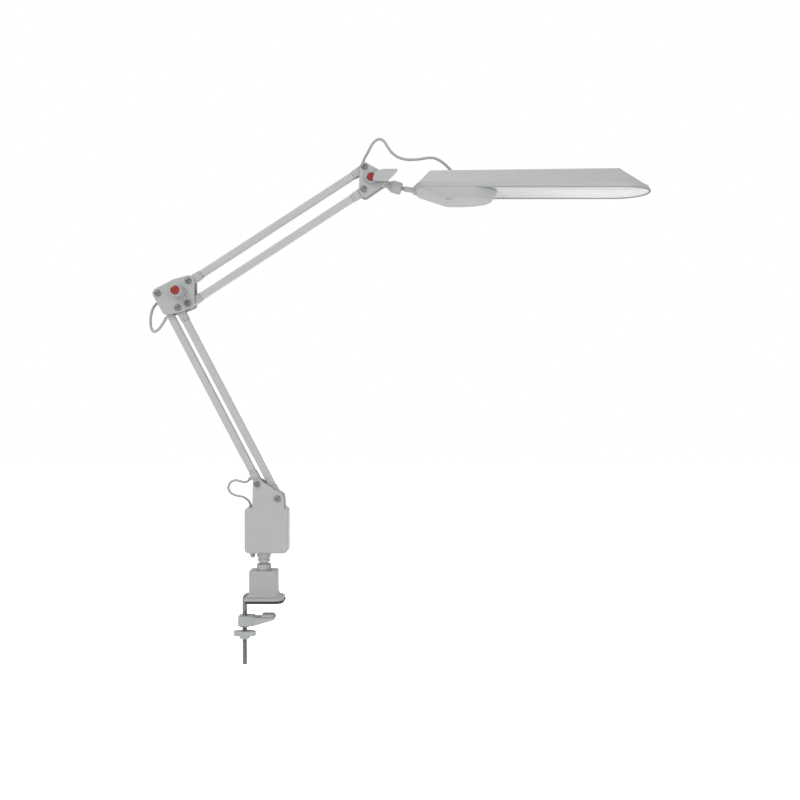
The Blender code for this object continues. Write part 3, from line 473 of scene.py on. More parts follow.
def black_rubber():
    return material("Black rubber", (0.012, 0.013, 0.013), 0.72, patches=90.0, mottle=0.3, grain=1800.0,
                    relief=0.0001, spots=0.12)


def zinc_steel():
    """Dull zinc plating, with the cloudy spangle it ages to."""
    return material("Zinc plated steel", (0.12, 0.122, 0.12), 0.36, metallic=0.6, patches=160.0, mottle=0.12,
                    grain=2200.0, spots=0.1)


def dark_steel():
    """Blackened screws, worn a little lighter in patches."""
    return material("Blackened steel", (0.13, 0.135, 0.135), 0.34, metallic=0.8, patches=220.0, mottle=0.25,
                    grain=2600.0, spots=0.1)


def red_gloss():
    """Red gloss moulding under a clear coat."""
    made = material("Red gloss cap", (0.14, 0.010, 0.007), 0.2, patches=120.0, mottle=0.08, grain=900.0,
                    relief=0.00001, spots=0.04)
    shader = shader_of(made)
    shader.inputs["Specular IOR Level"].default_value = 0.3
    shader.inputs["Coat Weight"].default_value = 0.2
    shader.inputs["Coat Roughness"].default_value = 0.08
    return made


def cable_jacket():
    """Matt grey PVC with fine lengthwise drag marks."""
    return material("Cable jacket", (0.19, 0.196, 0.19), 0.52, patches=70.0, mottle=0.04, grain=1600.0,
                    relief=0.00004, spots=0.08)


def nylon_grey():
    return material("Grey nylon", (0.217, 0.223, 0.22), 0.46, patches=50.0, mottle=0.03, grain=2000.0,
                    relief=0.00003)


def opal_diffuser():
    """Opal acrylic: milky, with some light in its body, and painted shade that darkens it towards the cover at its
    neck end.
    """
    made = material("Opal diffuser", (0.42, 0.418, 0.428), 0.3, patches=14.0, mottle=0.01, grain=3000.0,
                    relief=0.00001, spots=0.03)
    tree = made.node_tree
    shader = shader_of(made)
    place = tree.nodes.new("ShaderNodeTexCoord")
    split = tree.nodes.new("ShaderNodeSeparateXYZ")
    tree.links.new(place.outputs["Object"], split.inputs[0])
    neck_end, lit = 0.36, 0.56       # where along X the painted shade is deepest, and where the pane is fully lit
    # painted shade: the base colour is scaled from 0.62 at the neck end up to full, standing in for the cover's
    # shadow on the pane
    shade_fade = map_range(tree, split.outputs["X"], neck_end, lit, 0.62, 1.0)
    painted_shade = tree.nodes.new("ShaderNodeVectorMath")
    painted_shade.operation = "SCALE"
    tree.links.new(shader.inputs["Base Color"].links[0].from_socket, painted_shade.inputs[0])
    tree.links.new(shade_fade, painted_shade.inputs["Scale"])
    tree.links.new(painted_shade.outputs[0], shader.inputs["Base Color"])
    shader.inputs["Subsurface Weight"].default_value = 0.3
    shader.inputs["Subsurface Scale"].default_value = 0.004
    return made


def circuit_board():
    return material("Circuit board", (0.03, 0.16, 0.06), 0.4, patches=300.0, mottle=0.35, grain=1500.0)


def aluminium():
    return material("Aluminium sheet", (0.6, 0.6, 0.6), 0.36, metallic=1.0, patches=40.0, mottle=0.04,
                    grain=1800.0, stretch=(0.03, 1.0, 1.0))


def transformer_tape():
    return material("Transformer tape", (0.35, 0.3, 0.07), 0.45, patches=200.0, mottle=0.15, grain=1500.0)


LOOKS = {
    "grey_shell": moulded_shell(), "grey_casting": grey_casting(), "jaw_casting": jaw_casting(),
    "bar_paint": bar_paint(), "black_rubber": black_rubber(), "zinc_steel": zinc_steel(),
    "dark_steel": dark_steel(), "red_cap": red_gloss(), "grey_cable": cable_jacket(),
    "nylon": nylon_grey(), "diffuser": opal_diffuser(), "circuit_board": circuit_board(),
    "aluminium": aluminium(), "transformer": transformer_tape(),
}
SLOTS = {entry["node"]: entry["material_slot"] for entry in frame["record"]["subparts"]}


def title(node):
    return node.replace("_", " ").capitalize()


def make(name, bm, node, sharp=35.0):
    """A piece that stands for a CAD node, rides on its body and wears its slot's material."""
    slot_name = SLOTS[node]
    return piece(name, bm, LOOKS[slot_name], body_of(node), node, slot=slot_name, sharp=sharp)


def dress_frame():
    """Every CAD node that stays in sight wears the detailed material of its slot."""
    for node, kept in frame["nodes"].items():
        kept.data.materials.clear()
        kept.data.materials.append(LOOKS[SLOTS[node]])


# --- table clamp ---
def socket_bore(z, ring_size):
    """A ring of the bore with as many points as a level of the socket's body."""
    bore = BUSH_RADIUS + GAP
    return plan(-bore, bore, bore, bore, z, ring_size)


def make_clamp_base():
    """The foot that lies on the table and the boxy socket that rises from it."""
    low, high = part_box("clamp_base")
    lip = low.z + 5 * MM
    half, deep = 23.6 * MM, 15.5 * MM
    steps = 14
    levels = [
        # left, right, half depth, corner radius, height
        (low.x + 2.4 * MM, high.x - 2.4 * MM, high.y - 2.4 * MM, 11 * MM, low.z),
        (low.x + 0.6 * MM, high.x - 0.6 * MM, high.y - 0.6 * MM, 12.6 * MM, low.z + 0.6 * MM),
        (low.x, high.x, high.y, 13 * MM, low.z + 1.4 * MM),
        (low.x, high.x - 0.5 * MM, high.y, 13 * MM, lip - 0.8 * MM),
        (low.x + 1 * MM, high.x - 2.2 * MM, high.y - 1.4 * MM, 12.4 * MM, lip + 0.1 * MM),
        (low.x + 3 * MM, half + 5.2 * MM, deep + 2.4 * MM, 10 * MM, lip + 1.4 * MM),
        (-half - 1 * MM, half + 2.1 * MM, deep + 1 * MM, 7 * MM, lip + 4 * MM),
        (-half, half + 0.4 * MM, deep, 5 * MM, lip + 9 * MM),
        (-half, half, deep, 5 * MM, high.z - 1.2 * MM),
        (-half + 1.2 * MM, half - 1.2 * MM, deep - 1.2 * MM, 3.8 * MM, high.z),
        (-12.6 * MM, 12.6 * MM, 12.6 * MM, 12.5 * MM, high.z),
    ]
    rings = [plan(*level, steps, min(level[3], 4 * MM)) for level in soften(levels[:-1], 1.4 * MM)]
    rings.append(plan(*levels[-1], steps))
    rings += [socket_bore(high.z - 0.8 * MM, steps), socket_bore(low.z + 10.7 * MM, steps)]
    make("Clamp foot and socket", skin(rings), "clamp_base")


def make_table_pad():
    """Rubber sole with a softened edge and a moulding line half way up."""
    low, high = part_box("table_pad")
    middle = (low.z + high.z) / 2
    rows = lift(low.z, (1.4, 0), (0.3, 0.5), (0, 1.2)) + lift(middle, (0, -0.25), (0.35, 0), (0, 0.25))
    rows += lift(high.z, (0, -0.8), (0.8, 0))
    levels = [plan(low.x + draw, high.x - draw, high.y - draw, 13 * MM - draw, z, 14, 4 * MM - draw)
              for draw, z in rows]
    make("Table pad", skin(levels), "table_pad", sharp=50.0)


def make_clamp_rod():
    """The bent steel rod; below the hook it carries the jaw's thread."""
    low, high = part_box("clamp_rod")
    radius = size("clamp_rod").y / 2
    rod_x = low.x + radius
    pitch, depth = 1.25 * MM, 0.55 * MM
    bend = 6.7 * MM
    bend_z = high.z - radius - bend
    thread_top = bend_z - 17 * MM
    sides, turn_steps = 24, 10
    turns = [2 * math.pi * j / sides for j in range(sides)]
    rings = []
    z = low.z
    while z < thread_top:
        ring = []
        for j, turn in enumerate(turns):
            phase = ((z - low.z) / pitch - j / sides) % 1.0
            runout = min(1.0, (thread_top - z) / (2 * pitch), (z - low.z) / pitch)
            reach = radius - depth * abs(2 * phase - 1) * max(runout, 0.0) - 0.5 * MM * (z == low.z)
            ring.append(Vector((rod_x + reach * math.cos(turn), reach * math.sin(turn), z)))
        rings.append(ring)
        z += pitch / turn_steps
    path = [Vector((rod_x, 0.0, thread_top)), Vector((rod_x, 0.0, bend_z - 4 * MM))]
    path += [Vector((x, 0.0, h)) for x, h in arc((rod_x + bend, bend_z), bend, 180, 90, 14)]
    path.append(Vector((high.x, 0.0, bend_z + bend)))
    for i, point in enumerate(path):
        ahead = (path[min(i + 1, len(path) - 1)] - path[max(i - 1, 0)]).normalized()
        side = Vector((0.0, 1.0, 0.0))
        across = side.cross(ahead)
        rings.append([point + (across * math.cos(t) + side * math.sin(t)) * radius for t in turns])
    make("Threaded clamp rod", skin(rings), "clamp_rod", sharp=60.0)


def make_socket_bush():
    """The collar the arm swivels on: a smooth band between ridged ones."""
    low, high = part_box("socket_bush")
    collar = size("socket_bush").x / 2
    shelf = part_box("clamp_base")[1].z + GAP
    bore = SPINDLE_RADIUS + GAP
    profile = [(bore, low.z), (BUSH_RADIUS, low.z), (BUSH_RADIUS, shelf), (collar, shelf)]
    ridges = 7
    for i in range(ridges):
        z = shelf + (i + 0.5) * (high.z - shelf - 1 * MM) / ridges
        profile += [(collar, z - 0.45 * MM), (collar - 0.3 * MM, z), (collar, z + 0.45 * MM)]
    profile += [(collar - 0.2 * MM, high.z - 0.4 * MM), (collar - 0.9 * MM, high.z), (bore, high.z)]
    make("Swivel bush", turned(profile, (0, 0, 0), UP, 72, closed=True), "socket_bush", sharp=40.0)


def make_lower_jaw():
    """The sliding jaw: a boss round the rod and a tapering arm with a recess for its pad."""
    low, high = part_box("lower_jaw")
    seat = high.z - 2.3 * MM
    corners = [
        (low.x, high.z), (low.x, low.z), (-17.1 * MM, low.z), (high.x, high.z - 5.6 * MM),
        (high.x, high.z), (17.7 * MM, high.z), (17.7 * MM, seat), (-16 * MM, seat), (-18 * MM, high.z),
    ]
    outline = rounded(corners, 1.2 * MM, closed=True)
    bm = prism(outline, low.y, high.y)
    made = make("Sliding jaw", bm, "lower_jaw")
    eased(made, 0.7 * MM)


def prism(outline, y0, y1):
    """Extrudes any outline in (x, z) from y0 to y1."""
    bm = bmesh.new()
    near = [bm.verts.new((x, y0, z)) for x, z in outline]
    far = [bm.verts.new((x, y1, z)) for x, z in outline]
    bm.faces.new(near)
    bm.faces.new(far[::-1])
    join_rings(bm, near, far)
    return bm


def make_jaw_pad():
    """Ribbed nylon pad."""
    low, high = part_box("jaw_pad")
    ribs = 5
    pitch = (high.x - low.x) / ribs
    top = []
    for i in range(ribs):
        for share, drop in ((0.02, 0.7), (0.2, 0.2), (0.3, 0), (0.6, 0), (0.72, 0.2), (0.88, 0.7)):
            top.append((low.x + (i + share) * pitch, high.z - drop * MM))
    outline = [(low.x, low.z)] + top + [(high.x, high.z - 0.7 * MM), (high.x, low.z)]
    eased(make("Jaw pad", prism(outline, low.y, high.y), "jaw_pad"), 0.3 * MM, 2, 50.0)


def make_thrust_washer():
    low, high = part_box("thrust_washer")
    spot, outer, bore = centre("thrust_washer"), size("thrust_washer").x / 2, ROD_HOLE
    profile = band(bore, outer, low.z, high.z, 0.4 * MM)
    make("Thrust washer", turned(profile, (spot.x, 0, 0), UP, 64, closed=True), "thrust_washer")


def make_wing_nut():
    """Two-winged knob under the jaw: thin wings on a turned hub."""
    low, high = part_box("wing_nut")
    spot = centre("wing_nut")
    reach = size("wing_nut").x / 2
    tip, hub = 5 * MM, 9.2 * MM
    wing_low = high.z - 8.8 * MM
    outline = wrapped([(spot.x - reach + tip, 0.0, tip), (spot.x, 0.0, hub),
                       (spot.x + reach - tip, 0.0, tip)])
    bm = slab(outline, wing_low, high.z, 1.6 * MM, 5)
    for vert in bm.verts:
        vert.co = Vector((vert.co.x, vert.co.z, vert.co.y))
    make("Wing nut wings", bm, "wing_nut")
    bore = ROD_HOLE
    profile = rounded([(bore, low.z), (hub - 1 * MM, low.z), (hub, low.z + 1.4 * MM),
                       (hub, wing_low + 1 * MM), (bore, wing_low + 1 * MM)], 0.8 * MM, closed=True)
    make("Wing nut hub", turned(profile, (spot.x, 0, 0), UP, 64, closed=True), "wing_nut")
    rim = band(bore, 6.4 * MM, high.z - 0.2 * MM, high.z + 0.25 * MM, 0.15 * MM)
    make("Wing nut face", turned(rim, (spot.x, 0, 0), UP, 64, closed=True), "wing_nut")


# --- turret ---
def make_spindle():
    """The post that drops into the socket, with its thrust ring and conical flange."""
    low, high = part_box("spindle")
    post, flange = SPINDLE_RADIUS, size("spindle").x / 2
    ring = 10.2 * MM
    corners = [(post - 0.6 * MM, low.z), (post, low.z + 0.8 * MM), (post, high.z - 15.1 * MM),
               (ring, high.z - 15.1 * MM), (ring, high.z - 10.8 * MM), (ring - 1 * MM, high.z - 9.8 * MM),
               (flange, high.z - 5.8 * MM), (flange, high.z)]
    profile = [(0.0, low.z)] + rounded(corners, 0.5 * MM) + [(0.0, high.z)]
    make("Spindle", turned(profile, (0, 0, 0), UP, 72), "spindle")


def make_box_shell(name, node, side):
    """Half of the driver box: bevelled rim, flat face, and the seam where it meets its twin."""
    low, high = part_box("box_front_shell")
    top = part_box("driver_board")[1].z + 18 * MM
    depth, corner, wall = high.y - low.y + 0.15 * MM, 8 * MM, 2 * MM
    levels = [
        # inset from the box's outline, depth from the seam
        (6.4 * MM, depth), (4.9 * MM, depth - 0.15 * MM), (1.1 * MM, depth - 1.9 * MM),
        (0.0, depth - 4.9 * MM), (0.0, 1.2 * MM), (0.35 * MM, 0.15 * MM), (wall, 0.15 * MM),
        (wall, depth - 6 * MM),
    ]
    rings = []
    for draw, y in soften(levels, 0.9 * MM):
        rings.append([(x, side * y, z) for x, z in round_box(
            low.x + draw, high.x - draw, low.z + draw, top - draw, max(corner - draw, 2 * MM), 10)])
    make(f"{name} shell", skin(rings), node)
    outer, inner = centre("base_screw_outer"), centre("base_screw_inner")
    ear = wrapped([circle(outer, 8), circle(inner, 9.5), *mm((-9.5, 156, 8), (28, 156, 8))])
    plate = slab(ear, side * 7.8 * MM, side * (depth - 0.1 * MM), 1.5 * MM, 5)
    make(f"{name} ear", plate, node)
    for label, spot in (("outer", outer), ("inner", inner)):
        profile = lift(depth - 0.2 * MM, (3.4, 0), (7, 0), (7, 0.35), (6.6, 0.6), (5.6, 0.6), (5.4, 0.2),
                       (3.4, 0.2))
        rim = turned(profile, (spot.x, 0, spot.z), (0, side, 0), 64, closed=True)
        make(f"{name} {label} rim", rim, node)


def make_gland():
    """Strain relief of the mains lead: a ribbed sleeve under the box."""
    low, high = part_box("mains_gland")
    spot, outer = centre("mains_gland"), size("mains_gland").x / 2
    profile = lift(low.z, (0, 1.5), (2.2, 1.5), (2.2, 0), (3.4, 0))
    for i in range(4):
        z = low.z + (0.8 + 1.5 * i) * MM
        wide = 3.7 * MM + 0.3 * MM * i
        profile += [(wide, z), (wide, z + 0.8 * MM), (wide - 0.5 * MM, z + 1.0 * MM),
                    (wide - 0.5 * MM, z + 1.4 * MM)]
    profile += [(outer, high.z - 1.6 * MM), (outer, high.z), (0.0, high.z)]
    make("Mains gland", turned(profile, (spot.x, 0, 0), UP, 48), "mains_gland")


def make_grommet(name, node, hole):
    """A flanged grommet that a cable comes out of."""
    low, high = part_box(node)
    spot, flange = centre(node), size(node).x / 2
    lip = high.z - 2.2 * MM
    profile = [(0.0, low.z), (flange - 1 * MM, low.z), (flange - 1 * MM, lip), (flange, lip)]
    profile += arc((flange - 0.8 * MM, lip + 0.8 * MM), 0.8 * MM, 0, 90, 5)
    profile += [(hole + 0.9 * MM, high.z - 0.3 * MM), (hole + 0.4 * MM, high.z), (hole, high.z - 0.2 * MM),
                (hole, high.z - 1.6 * MM), (0.0, high.z - 1.6 * MM)]
    make(name, turned(profile, (spot.x, spot.y, 0), UP, 48), node)


def make_screw(node):
    """A domed pivot screw along Y with a hexagon socket, and the lock nut on its far end."""
    low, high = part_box(node)
    spot = centre(node)
    head, shank = size(node).x / 2, 3.0 * MM
    face = -low.y - 3.0 * MM
    dome = [(shank, face), (head - 0.2 * MM, face), (head, face + 0.25 * MM), (head, face + 0.8 * MM)]
    for i in range(1, 7):
        turn = math.radians(12 * i)
        dome.append((head - 2.1 * MM * (1 - math.cos(turn)), face + 0.8 * MM + 2.1 * MM * math.sin(turn)))
    socket = lift(face, (2.75, 2.95), (2.55, 2.75), (2.5, 2.2), (2.2, 2.1, "hex"), (2.2, 0.9, "hex"),
                  (0, 0.7))
    profile = [(0.0, -high.y), (shank, -high.y)] + dome + socket
    label = title(node)
    make(label, turned(profile, (spot.x, 0, spot.z), FRONT, 72), node, sharp=28.0)
    rear = high.y + 1.3 * MM
    profile = lift(rear, (0, 0.1), (4.264, 0.1), (5.2, 0.7, "hex"), (5.2, 3, "hex"), (4.368, 3.6),
                   (3.3, 4.2), (2.9, 4.2), (2.6, 3.4), (0, 3.2))
    make(f"{label} nut", turned(profile, (spot.x, 0, spot.z), (0, 1, 0), 72), node, sharp=28.0)


# --- arms ---
def square_ring(origin, along, distance, half, corner, steps):
    """A rounded square across a bar, at a distance along it."""
    side = Vector((-along.z, 0.0, along.x))
    section = round_box(-half, half, -half, half, corner, steps)
    return [origin + along * distance + Vector((0.0, y, 0.0)) + side * t for t, y in section]


def make_fitting(node, origin, along, boss=None):
    """The moulded end of a bar: an eye on the pivot, a sleeve, and a lip against the tube."""
    reach, half, eye, width = 24 * MM, 6.5 * MM, 7 * MM, size(node).y / 2
    neck = reach - 4 * MM
    outline = hull(arc((0.0, 0.0), eye, 0, 360, 48)[:-1]
                   + [(0.0, -half), (neck, -half), (neck, half), (0.0, half)])
    label = title(node)
    body = slab(placed(outline, origin, along), -width, width, 1.3 * MM, 5)
    make(f"{label} eye", body, node)
    # how far before the sleeve's end, and how far in from its sides
    steps = ((8, 1.2), (4.2, 0.35), (3.9, 0.0), (0.9, 0.0), (0.5, 0.12), (0.1, 0.5))
    rings = [square_ring(origin, along, reach - back * MM, half - draw * MM, 2 * MM, 6)
             for back, draw in steps]
    make(f"{label} sleeve", skin(rings), node)
    tongue = [square_ring(origin, along, s, 4.4 * MM, 0.8 * MM, 4)
              for s in (reach - 1 * MM, reach + 15.8 * MM)]
    make(f"{label} tongue", skin(tongue), node)
    if boss:
        start, end = boss
        length = (end - start).length
        profile = mm((0, 0.2), (2.1, 0.2), (2.3, 0), (2.7, 0), (2.9, 0.4), (2.9, 1.6), (2.6, 1.8),
                     (2.6, 2.6), (3, 2.8))
        profile += [(3.2 * MM, length), (0.0, length)]
        make(f"{label} cable boss", turned(profile, start, end - start, 40), node)


def make_bar(node, origin, along, length):
    """Square steel tube with drawn corners, open at both ends."""
    half, wall, reach = 6 * MM, 1.2 * MM, 24.3 * MM
    inner = half - wall
    rings = []
    cells = 24
    span = length - 2 * reach
    outside = [(0.0, half - 0.35 * MM), (0.35 * MM, half)]
    outside += [(span * i / cells, half) for i in range(1, cells)]
    outside += [(span - 0.35 * MM, half), (span, half - 0.35 * MM), (span, inner), (0.0, inner)]
    for s, size_here in outside:
        corner = 1.9 * MM if size_here > inner + 0.1 * MM else 0.7 * MM
        rings.append(square_ring(origin, along, reach + s, size_here, corner, 6))
    make(title(node), skin(rings, closed=True), node)


def make_arms():
    ends = {
        ("lower", "outer"): (pivot("lower_arm_tilt"), pivot("elbow_pivot")),
        ("lower", "inner"): (pivot("lower_inner_pivot"), centre("elbow_screw_lower_inner")),
        ("upper", "top"): (pivot("upper_arm_tilt"), pivot("bracket_pivot")),
        ("upper", "bottom"): (pivot("upper_bottom_pivot"), centre("bracket_screw_bottom")),
    }
    for (arm, bar), (near, far) in ends.items():
        near = Vector((near.x, 0.0, near.z))
        far = Vector((far.x, 0.0, far.z))
        along = (far - near).normalized()
        make_bar(f"{arm}_bar_{bar}", near, along, (far - near).length)
        boss = None
        if (arm, bar) == ("lower", "outer"):
            boss = (Vector((-25.9, 0.0, 205.9)) * MM, Vector((-18.0, 0.0, 213.0)) * MM)
        make_fitting(f"{arm}_{bar}_near_end", near, along, boss)
        make_fitting(f"{arm}_{bar}_far_end", far, -along)


# --- elbow and bracket ---
def make_plates(prefix, circles, screws):
    """The front and rear plates with a raised ring round each screw."""
    outline = wrapped(circles)
    for label, side in (("front", -1), ("rear", 1)):
        node = f"{prefix}_{label}_plate"
        low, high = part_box(node)
        inner, outer = min(abs(low.y), abs(high.y)), max(abs(low.y), abs(high.y))
        plate = slab(outline, side * inner, side * outer, 1.1 * MM, 5)
        make(f"{prefix.capitalize()} {label} plate", plate, node)
        for screw in screws:
            spot = centre(screw)
            profile = lift(outer, (3.4, -0.2), (3.4, 0.22), (5.5, 0.22), (5.7, 0.7), (6.5, 0.7), (6.9, 0.3),
                           (6.9, -0.2))
            made = turned(profile, (spot.x, 0, spot.z), (0, side, 0), 64, closed=True)
            make(f"{title(screw)} {label} rim", made, node)


def make_cap(node):
    """A glossy domed cap with a small step round its edge."""
    low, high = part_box(node)
    spot, radius = centre(node), size(node).x / 2
    seat, top = -high.y, -low.y
    shoulder, rise = radius - 0.25 * MM, 1.15 * MM
    profile = [(0.0, seat), (radius, seat), (radius, top - 1.4 * MM), (shoulder, top - rise)]
    for i in range(1, 10):
        turn = math.radians(10 * i)
        profile.append((shoulder * math.cos(turn), top - rise + rise * math.sin(turn)))
    profile[-1] = (0.0, top)
    make(title(node), turned(profile, (spot.x, 0, spot.z), FRONT, 72), node)


def knob_body(seat, base, front, length, cap):
    """A knob's profile: plain foot, tapering grip, rolled rim, and the cap's pocket."""
    grip_low, grip_high = seat + 0.16 * length, seat + 0.86 * length
    foot, neck, grip = base - 0.4 * MM, base - 0.5 * MM, front + 0.9 * MM
    profile = [(BOLT_HOLE, seat), (foot, seat), (base, seat + 0.5 * MM), (base, grip_low - 0.4 * MM),
               (neck, grip_low), (neck, grip_low + 0.5 * MM), (grip, grip_high - 0.5 * MM),
               (grip, grip_high)]
    profile += arc((front - 0.4 * MM, seat + length - 1.0 * MM), 1.0 * MM, 10, 90, 6)
    top, pocket = seat + length, cap + 0.3 * MM
    profile += [(cap + 0.6 * MM, top), (pocket, top - 0.3 * MM), (pocket, top - 1.6 * MM),
                (BOLT_HOLE, top - 1.6 * MM)]
    return profile


def make_elbow():
    screws = ["elbow_screw_lower_outer", "elbow_screw_lower_inner", "elbow_screw_upper_top",
              "elbow_screw_upper_bottom"]
    outer, inner, top, bottom = (centre(screw) for screw in screws)
    knob = centre("elbow_knob")
    circles = [circle(outer, 9), circle(knob, 24.5, -1, -1), circle(top, 9.5), circle(bottom, 8, 3),
               circle(inner, 8.5), circle(outer, 9, 15.5, -27.6)]
    make_plates("elbow", circles, screws)
    for screw in screws:
        make_screw(screw)
    low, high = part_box("elbow_knob")
    profile = knob_body(-high.y, 11.6 * MM, 9.4 * MM, high.y - low.y, 7.3 * MM)
    bm = turned(profile, (knob.x, 0, knob.z), FRONT, 96, closed=True)
    make("Elbow knob", bm, "elbow_knob")
    make_cap("elbow_knob_cap")


def make_bracket():
    screws = ["bracket_screw_top", "bracket_screw_bottom"]
    top, bottom = (centre(screw) for screw in screws)
    tilt = pivot("head_tilt")
    circles = [circle(top, 7.6), circle(bottom, 8.2), circle(bottom, 8, 2, -5), circle(tilt, 8, 20, -3),
               circle(tilt, 8, 9, 7.5)]
    make_plates("bracket", circles, screws)
    for screw in screws:
        make_screw(screw)
    make_lever_knob(tilt)
    make_cap("lever_knob_cap")


def make_lever_knob(tilt):
    """A locking knob with a flat blade standing off its front to push with a thumb."""
    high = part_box("lever_knob")[1]
    front = high.y - 8 * MM
    profile = knob_body(-high.y, 10 * MM, 9 * MM, 8 * MM, 7.1 * MM)
    bm = turned(profile, (tilt.x, 0, tilt.z), FRONT, 96, closed=True)
    make("Lever knob hub", bm, "lever_knob")
    right = Vector((1.0, 0.0, 0.0))
    post = [(8.1, -6), (15, -8), (15, 8.6), (8.1, 6)]
    blade = [(3.6, -8.2), (28.6, -8.2), (43.2, 6.2), (45.2, 11.9), (20.6, 11.9), (7.8, 7.4), (3.8, -1.5)]
    for label, corners, y0, y1, edge in (("post", post, front + 3 * MM, front - 3 * MM, 0.8 * MM),
                                         ("blade", blade, front - 2.2 * MM, front - 5.6 * MM, 0.9 * MM)):
        outline = rounded(mm(*corners), 1.6 * MM, closed=True)
        bm = slab(placed(outline, tilt, right), y0, y1, edge, 5)
        make(f"Lever knob {label}", bm, "lever_knob")


# --- neck ---
def neck_line():
    """The tilt bolt, the way from it to the ball, and how far that is."""
    tilt, ball = pivot("head_tilt"), pivot("head_swivel")
    return tilt, (ball - tilt).normalized(), (ball - tilt).length


def make_knuckle():
    """Barrel on the tilt bolt, a tongue, and the cup that holds the ball."""
    tilt, along, reach = neck_line()
    barrel = band(BOLT_HOLE, 9 * MM, -7.5 * MM, 7.5 * MM, 0.8 * MM)
    make("Knuckle barrel", turned(barrel, tilt, FRONT, 72, closed=True), "knuckle")
    width = 5.6 * MM
    outline = band(4 * MM, reach - 8 * MM, -width, width, 1 * MM)
    make("Knuckle tongue", slab(placed(outline, tilt, along), -width, width, 1 * MM, 5), "knuckle")
    cup = 8.6 * MM
    profile = [(0.0, reach - 12 * MM)]
    profile += arc((cup - 1 * MM, reach - 11 * MM), 1 * MM, -90, 0, 5)
    profile += lift(reach, (8.6, 3.4), (8, 4), (6.8, 4), (6.8, 0))
    bowl = 6.8 * MM
    for i in range(1, 9):
        turn = math.radians(90 + 11.25 * i)
        profile.append((bowl * math.sin(turn), reach + bowl * math.cos(turn)))
    profile[-1] = (0.0, reach - bowl)
    make("Knuckle cup", turned(profile, tilt, along, 72), "knuckle")


def make_collar():
    """Scalloped locking collar, chamfered towards the head."""
    tilt, along, reach = neck_line()
    profile = lift(reach, (8.9, -8.4), (9.6, -8.4), (10.3, -7.9), (10.5, -7.2, "fluted"),
                   (10.5, 6.6, "fluted"), (10, 7.6), (9.2, 8.6), (8.4, 8.6), (5.7, 4.9), (5.7, 4.3),
                   (8.9, 4.3))
    bm = turned(profile, tilt, along, 160, closed=True, flutes=16, depth=0.9 * MM)
    make("Knurled collar", bm, "knurled_collar", sharp=40.0)


def make_stud():
    """Ball and neck rod in one piece; the rod ends inside the head."""
    ball = pivot("head_swivel")
    along = axis("head_roll")
    radius, thin, thick, length = 6.5 * MM, 3.2 * MM, 4.7 * MM, 60 * MM
    start = math.degrees(math.asin(thin / radius))
    profile = []
    for i in range(17):
        turn = math.radians(180 - (180 - start) * i / 16)
        profile.append((radius * math.sin(turn), radius * math.cos(turn)))
    profile[0] = (0.0, -radius)
    profile += [(thin, 11.6 * MM), (thin + 0.3 * MM, 12.2 * MM), (thick - 0.3 * MM, 14.2 * MM),
                (thick, 15 * MM), (thick, length - 1 * MM), (thick - 0.6 * MM, length), (0.0, length)]
    make("Ball stud", turned(profile, ball, along, 64), "ball_stud")


# --- head ---
def head_ring(x0, x1, half, z0, z1, nose, tip):
    """A ring of the head: half an ellipse at the neck end and another at the tip."""
    straight = 12
    near, far = x0 + nose, x1 - tip
    flat = [(near + (far - near) * i / straight, -half) for i in range(straight)]
    for i in range(41):
        turn = math.radians(-90 + 180 * i / 40)
        flat.append((far + tip * math.cos(turn), half * math.sin(turn)))
    flat += [(far + (near - far) * i / straight, half) for i in range(1, straight)]
    for i in range(24):
        turn = math.radians(90 + 180 * i / 24)
        flat.append((near + nose * math.cos(turn), half * math.sin(turn)))
    return [(x, y, z0 + (z1 - z0) * (x - x0) / (x1 - x0)) for x, y in flat]


def shell_skin(levels, reach, thickness):
    """An open shell; each level is (x0, x1, half width, z0, z1, nose, tip), from its rim on."""
    fine = soften(levels, reach)
    wall = abs(thickness)
    inner = [[Vector(point) for point in head_ring(x0 + wall, x1 - wall, half - wall, z0, z1, nose, tip)]
             for x0, x1, half, z0, z1, nose, tip in fine]
    for ring in inner[1:]:
        for point in ring:
            point.z -= thickness
    return skin([head_ring(*level) for level in fine][::-1] + inner)


def make_head_shell():
    """The long moulded roof: rim band, crease, sloping flank and flat top."""
    low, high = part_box("head_shell")
    half = high.y
    crease = low.z + 7.1 * MM
    nose, tip = 18 * MM, 52 * MM
    # in from the neck end, the tip and the sides, and up from the rim
    rows = mm((2.2, 0.2, 0.2, 0), (2, 0, 0, 0.2), (1.4, 1, 0, 2.1), (0.3, 3.4, 0, 6.5), (0, 4.6, 0.5, 7.5))
    levels = [(low.x + left, high.x - right, half - draw, low.z + up, low.z + up, nose, tip)
              for left, right, draw, up in rows]
    levels += [
        (low.x + 2.4 * MM, high.x - 9.1 * MM, half - 2.1 * MM, crease + 2.4 * MM, crease + 2.5 * MM,
         16.2 * MM, 46.8 * MM),
        (low.x + 12 * MM, high.x - 27 * MM, 36.6 * MM, 712 * MM, 714 * MM, 9 * MM, 26 * MM),
        (low.x + 22 * MM, high.x - 50 * MM, 28.6 * MM, high.z - 6 * MM, high.z - 2.2 * MM, 5 * MM, 10 * MM),
        (low.x + 25 * MM, high.x - 54 * MM, 26.5 * MM, high.z - 4 * MM, high.z, 4 * MM, 6 * MM),
    ]
    make("Head shell", shell_skin(levels, 1.2 * MM, 1.8 * MM), "head_shell", sharp=30.0)


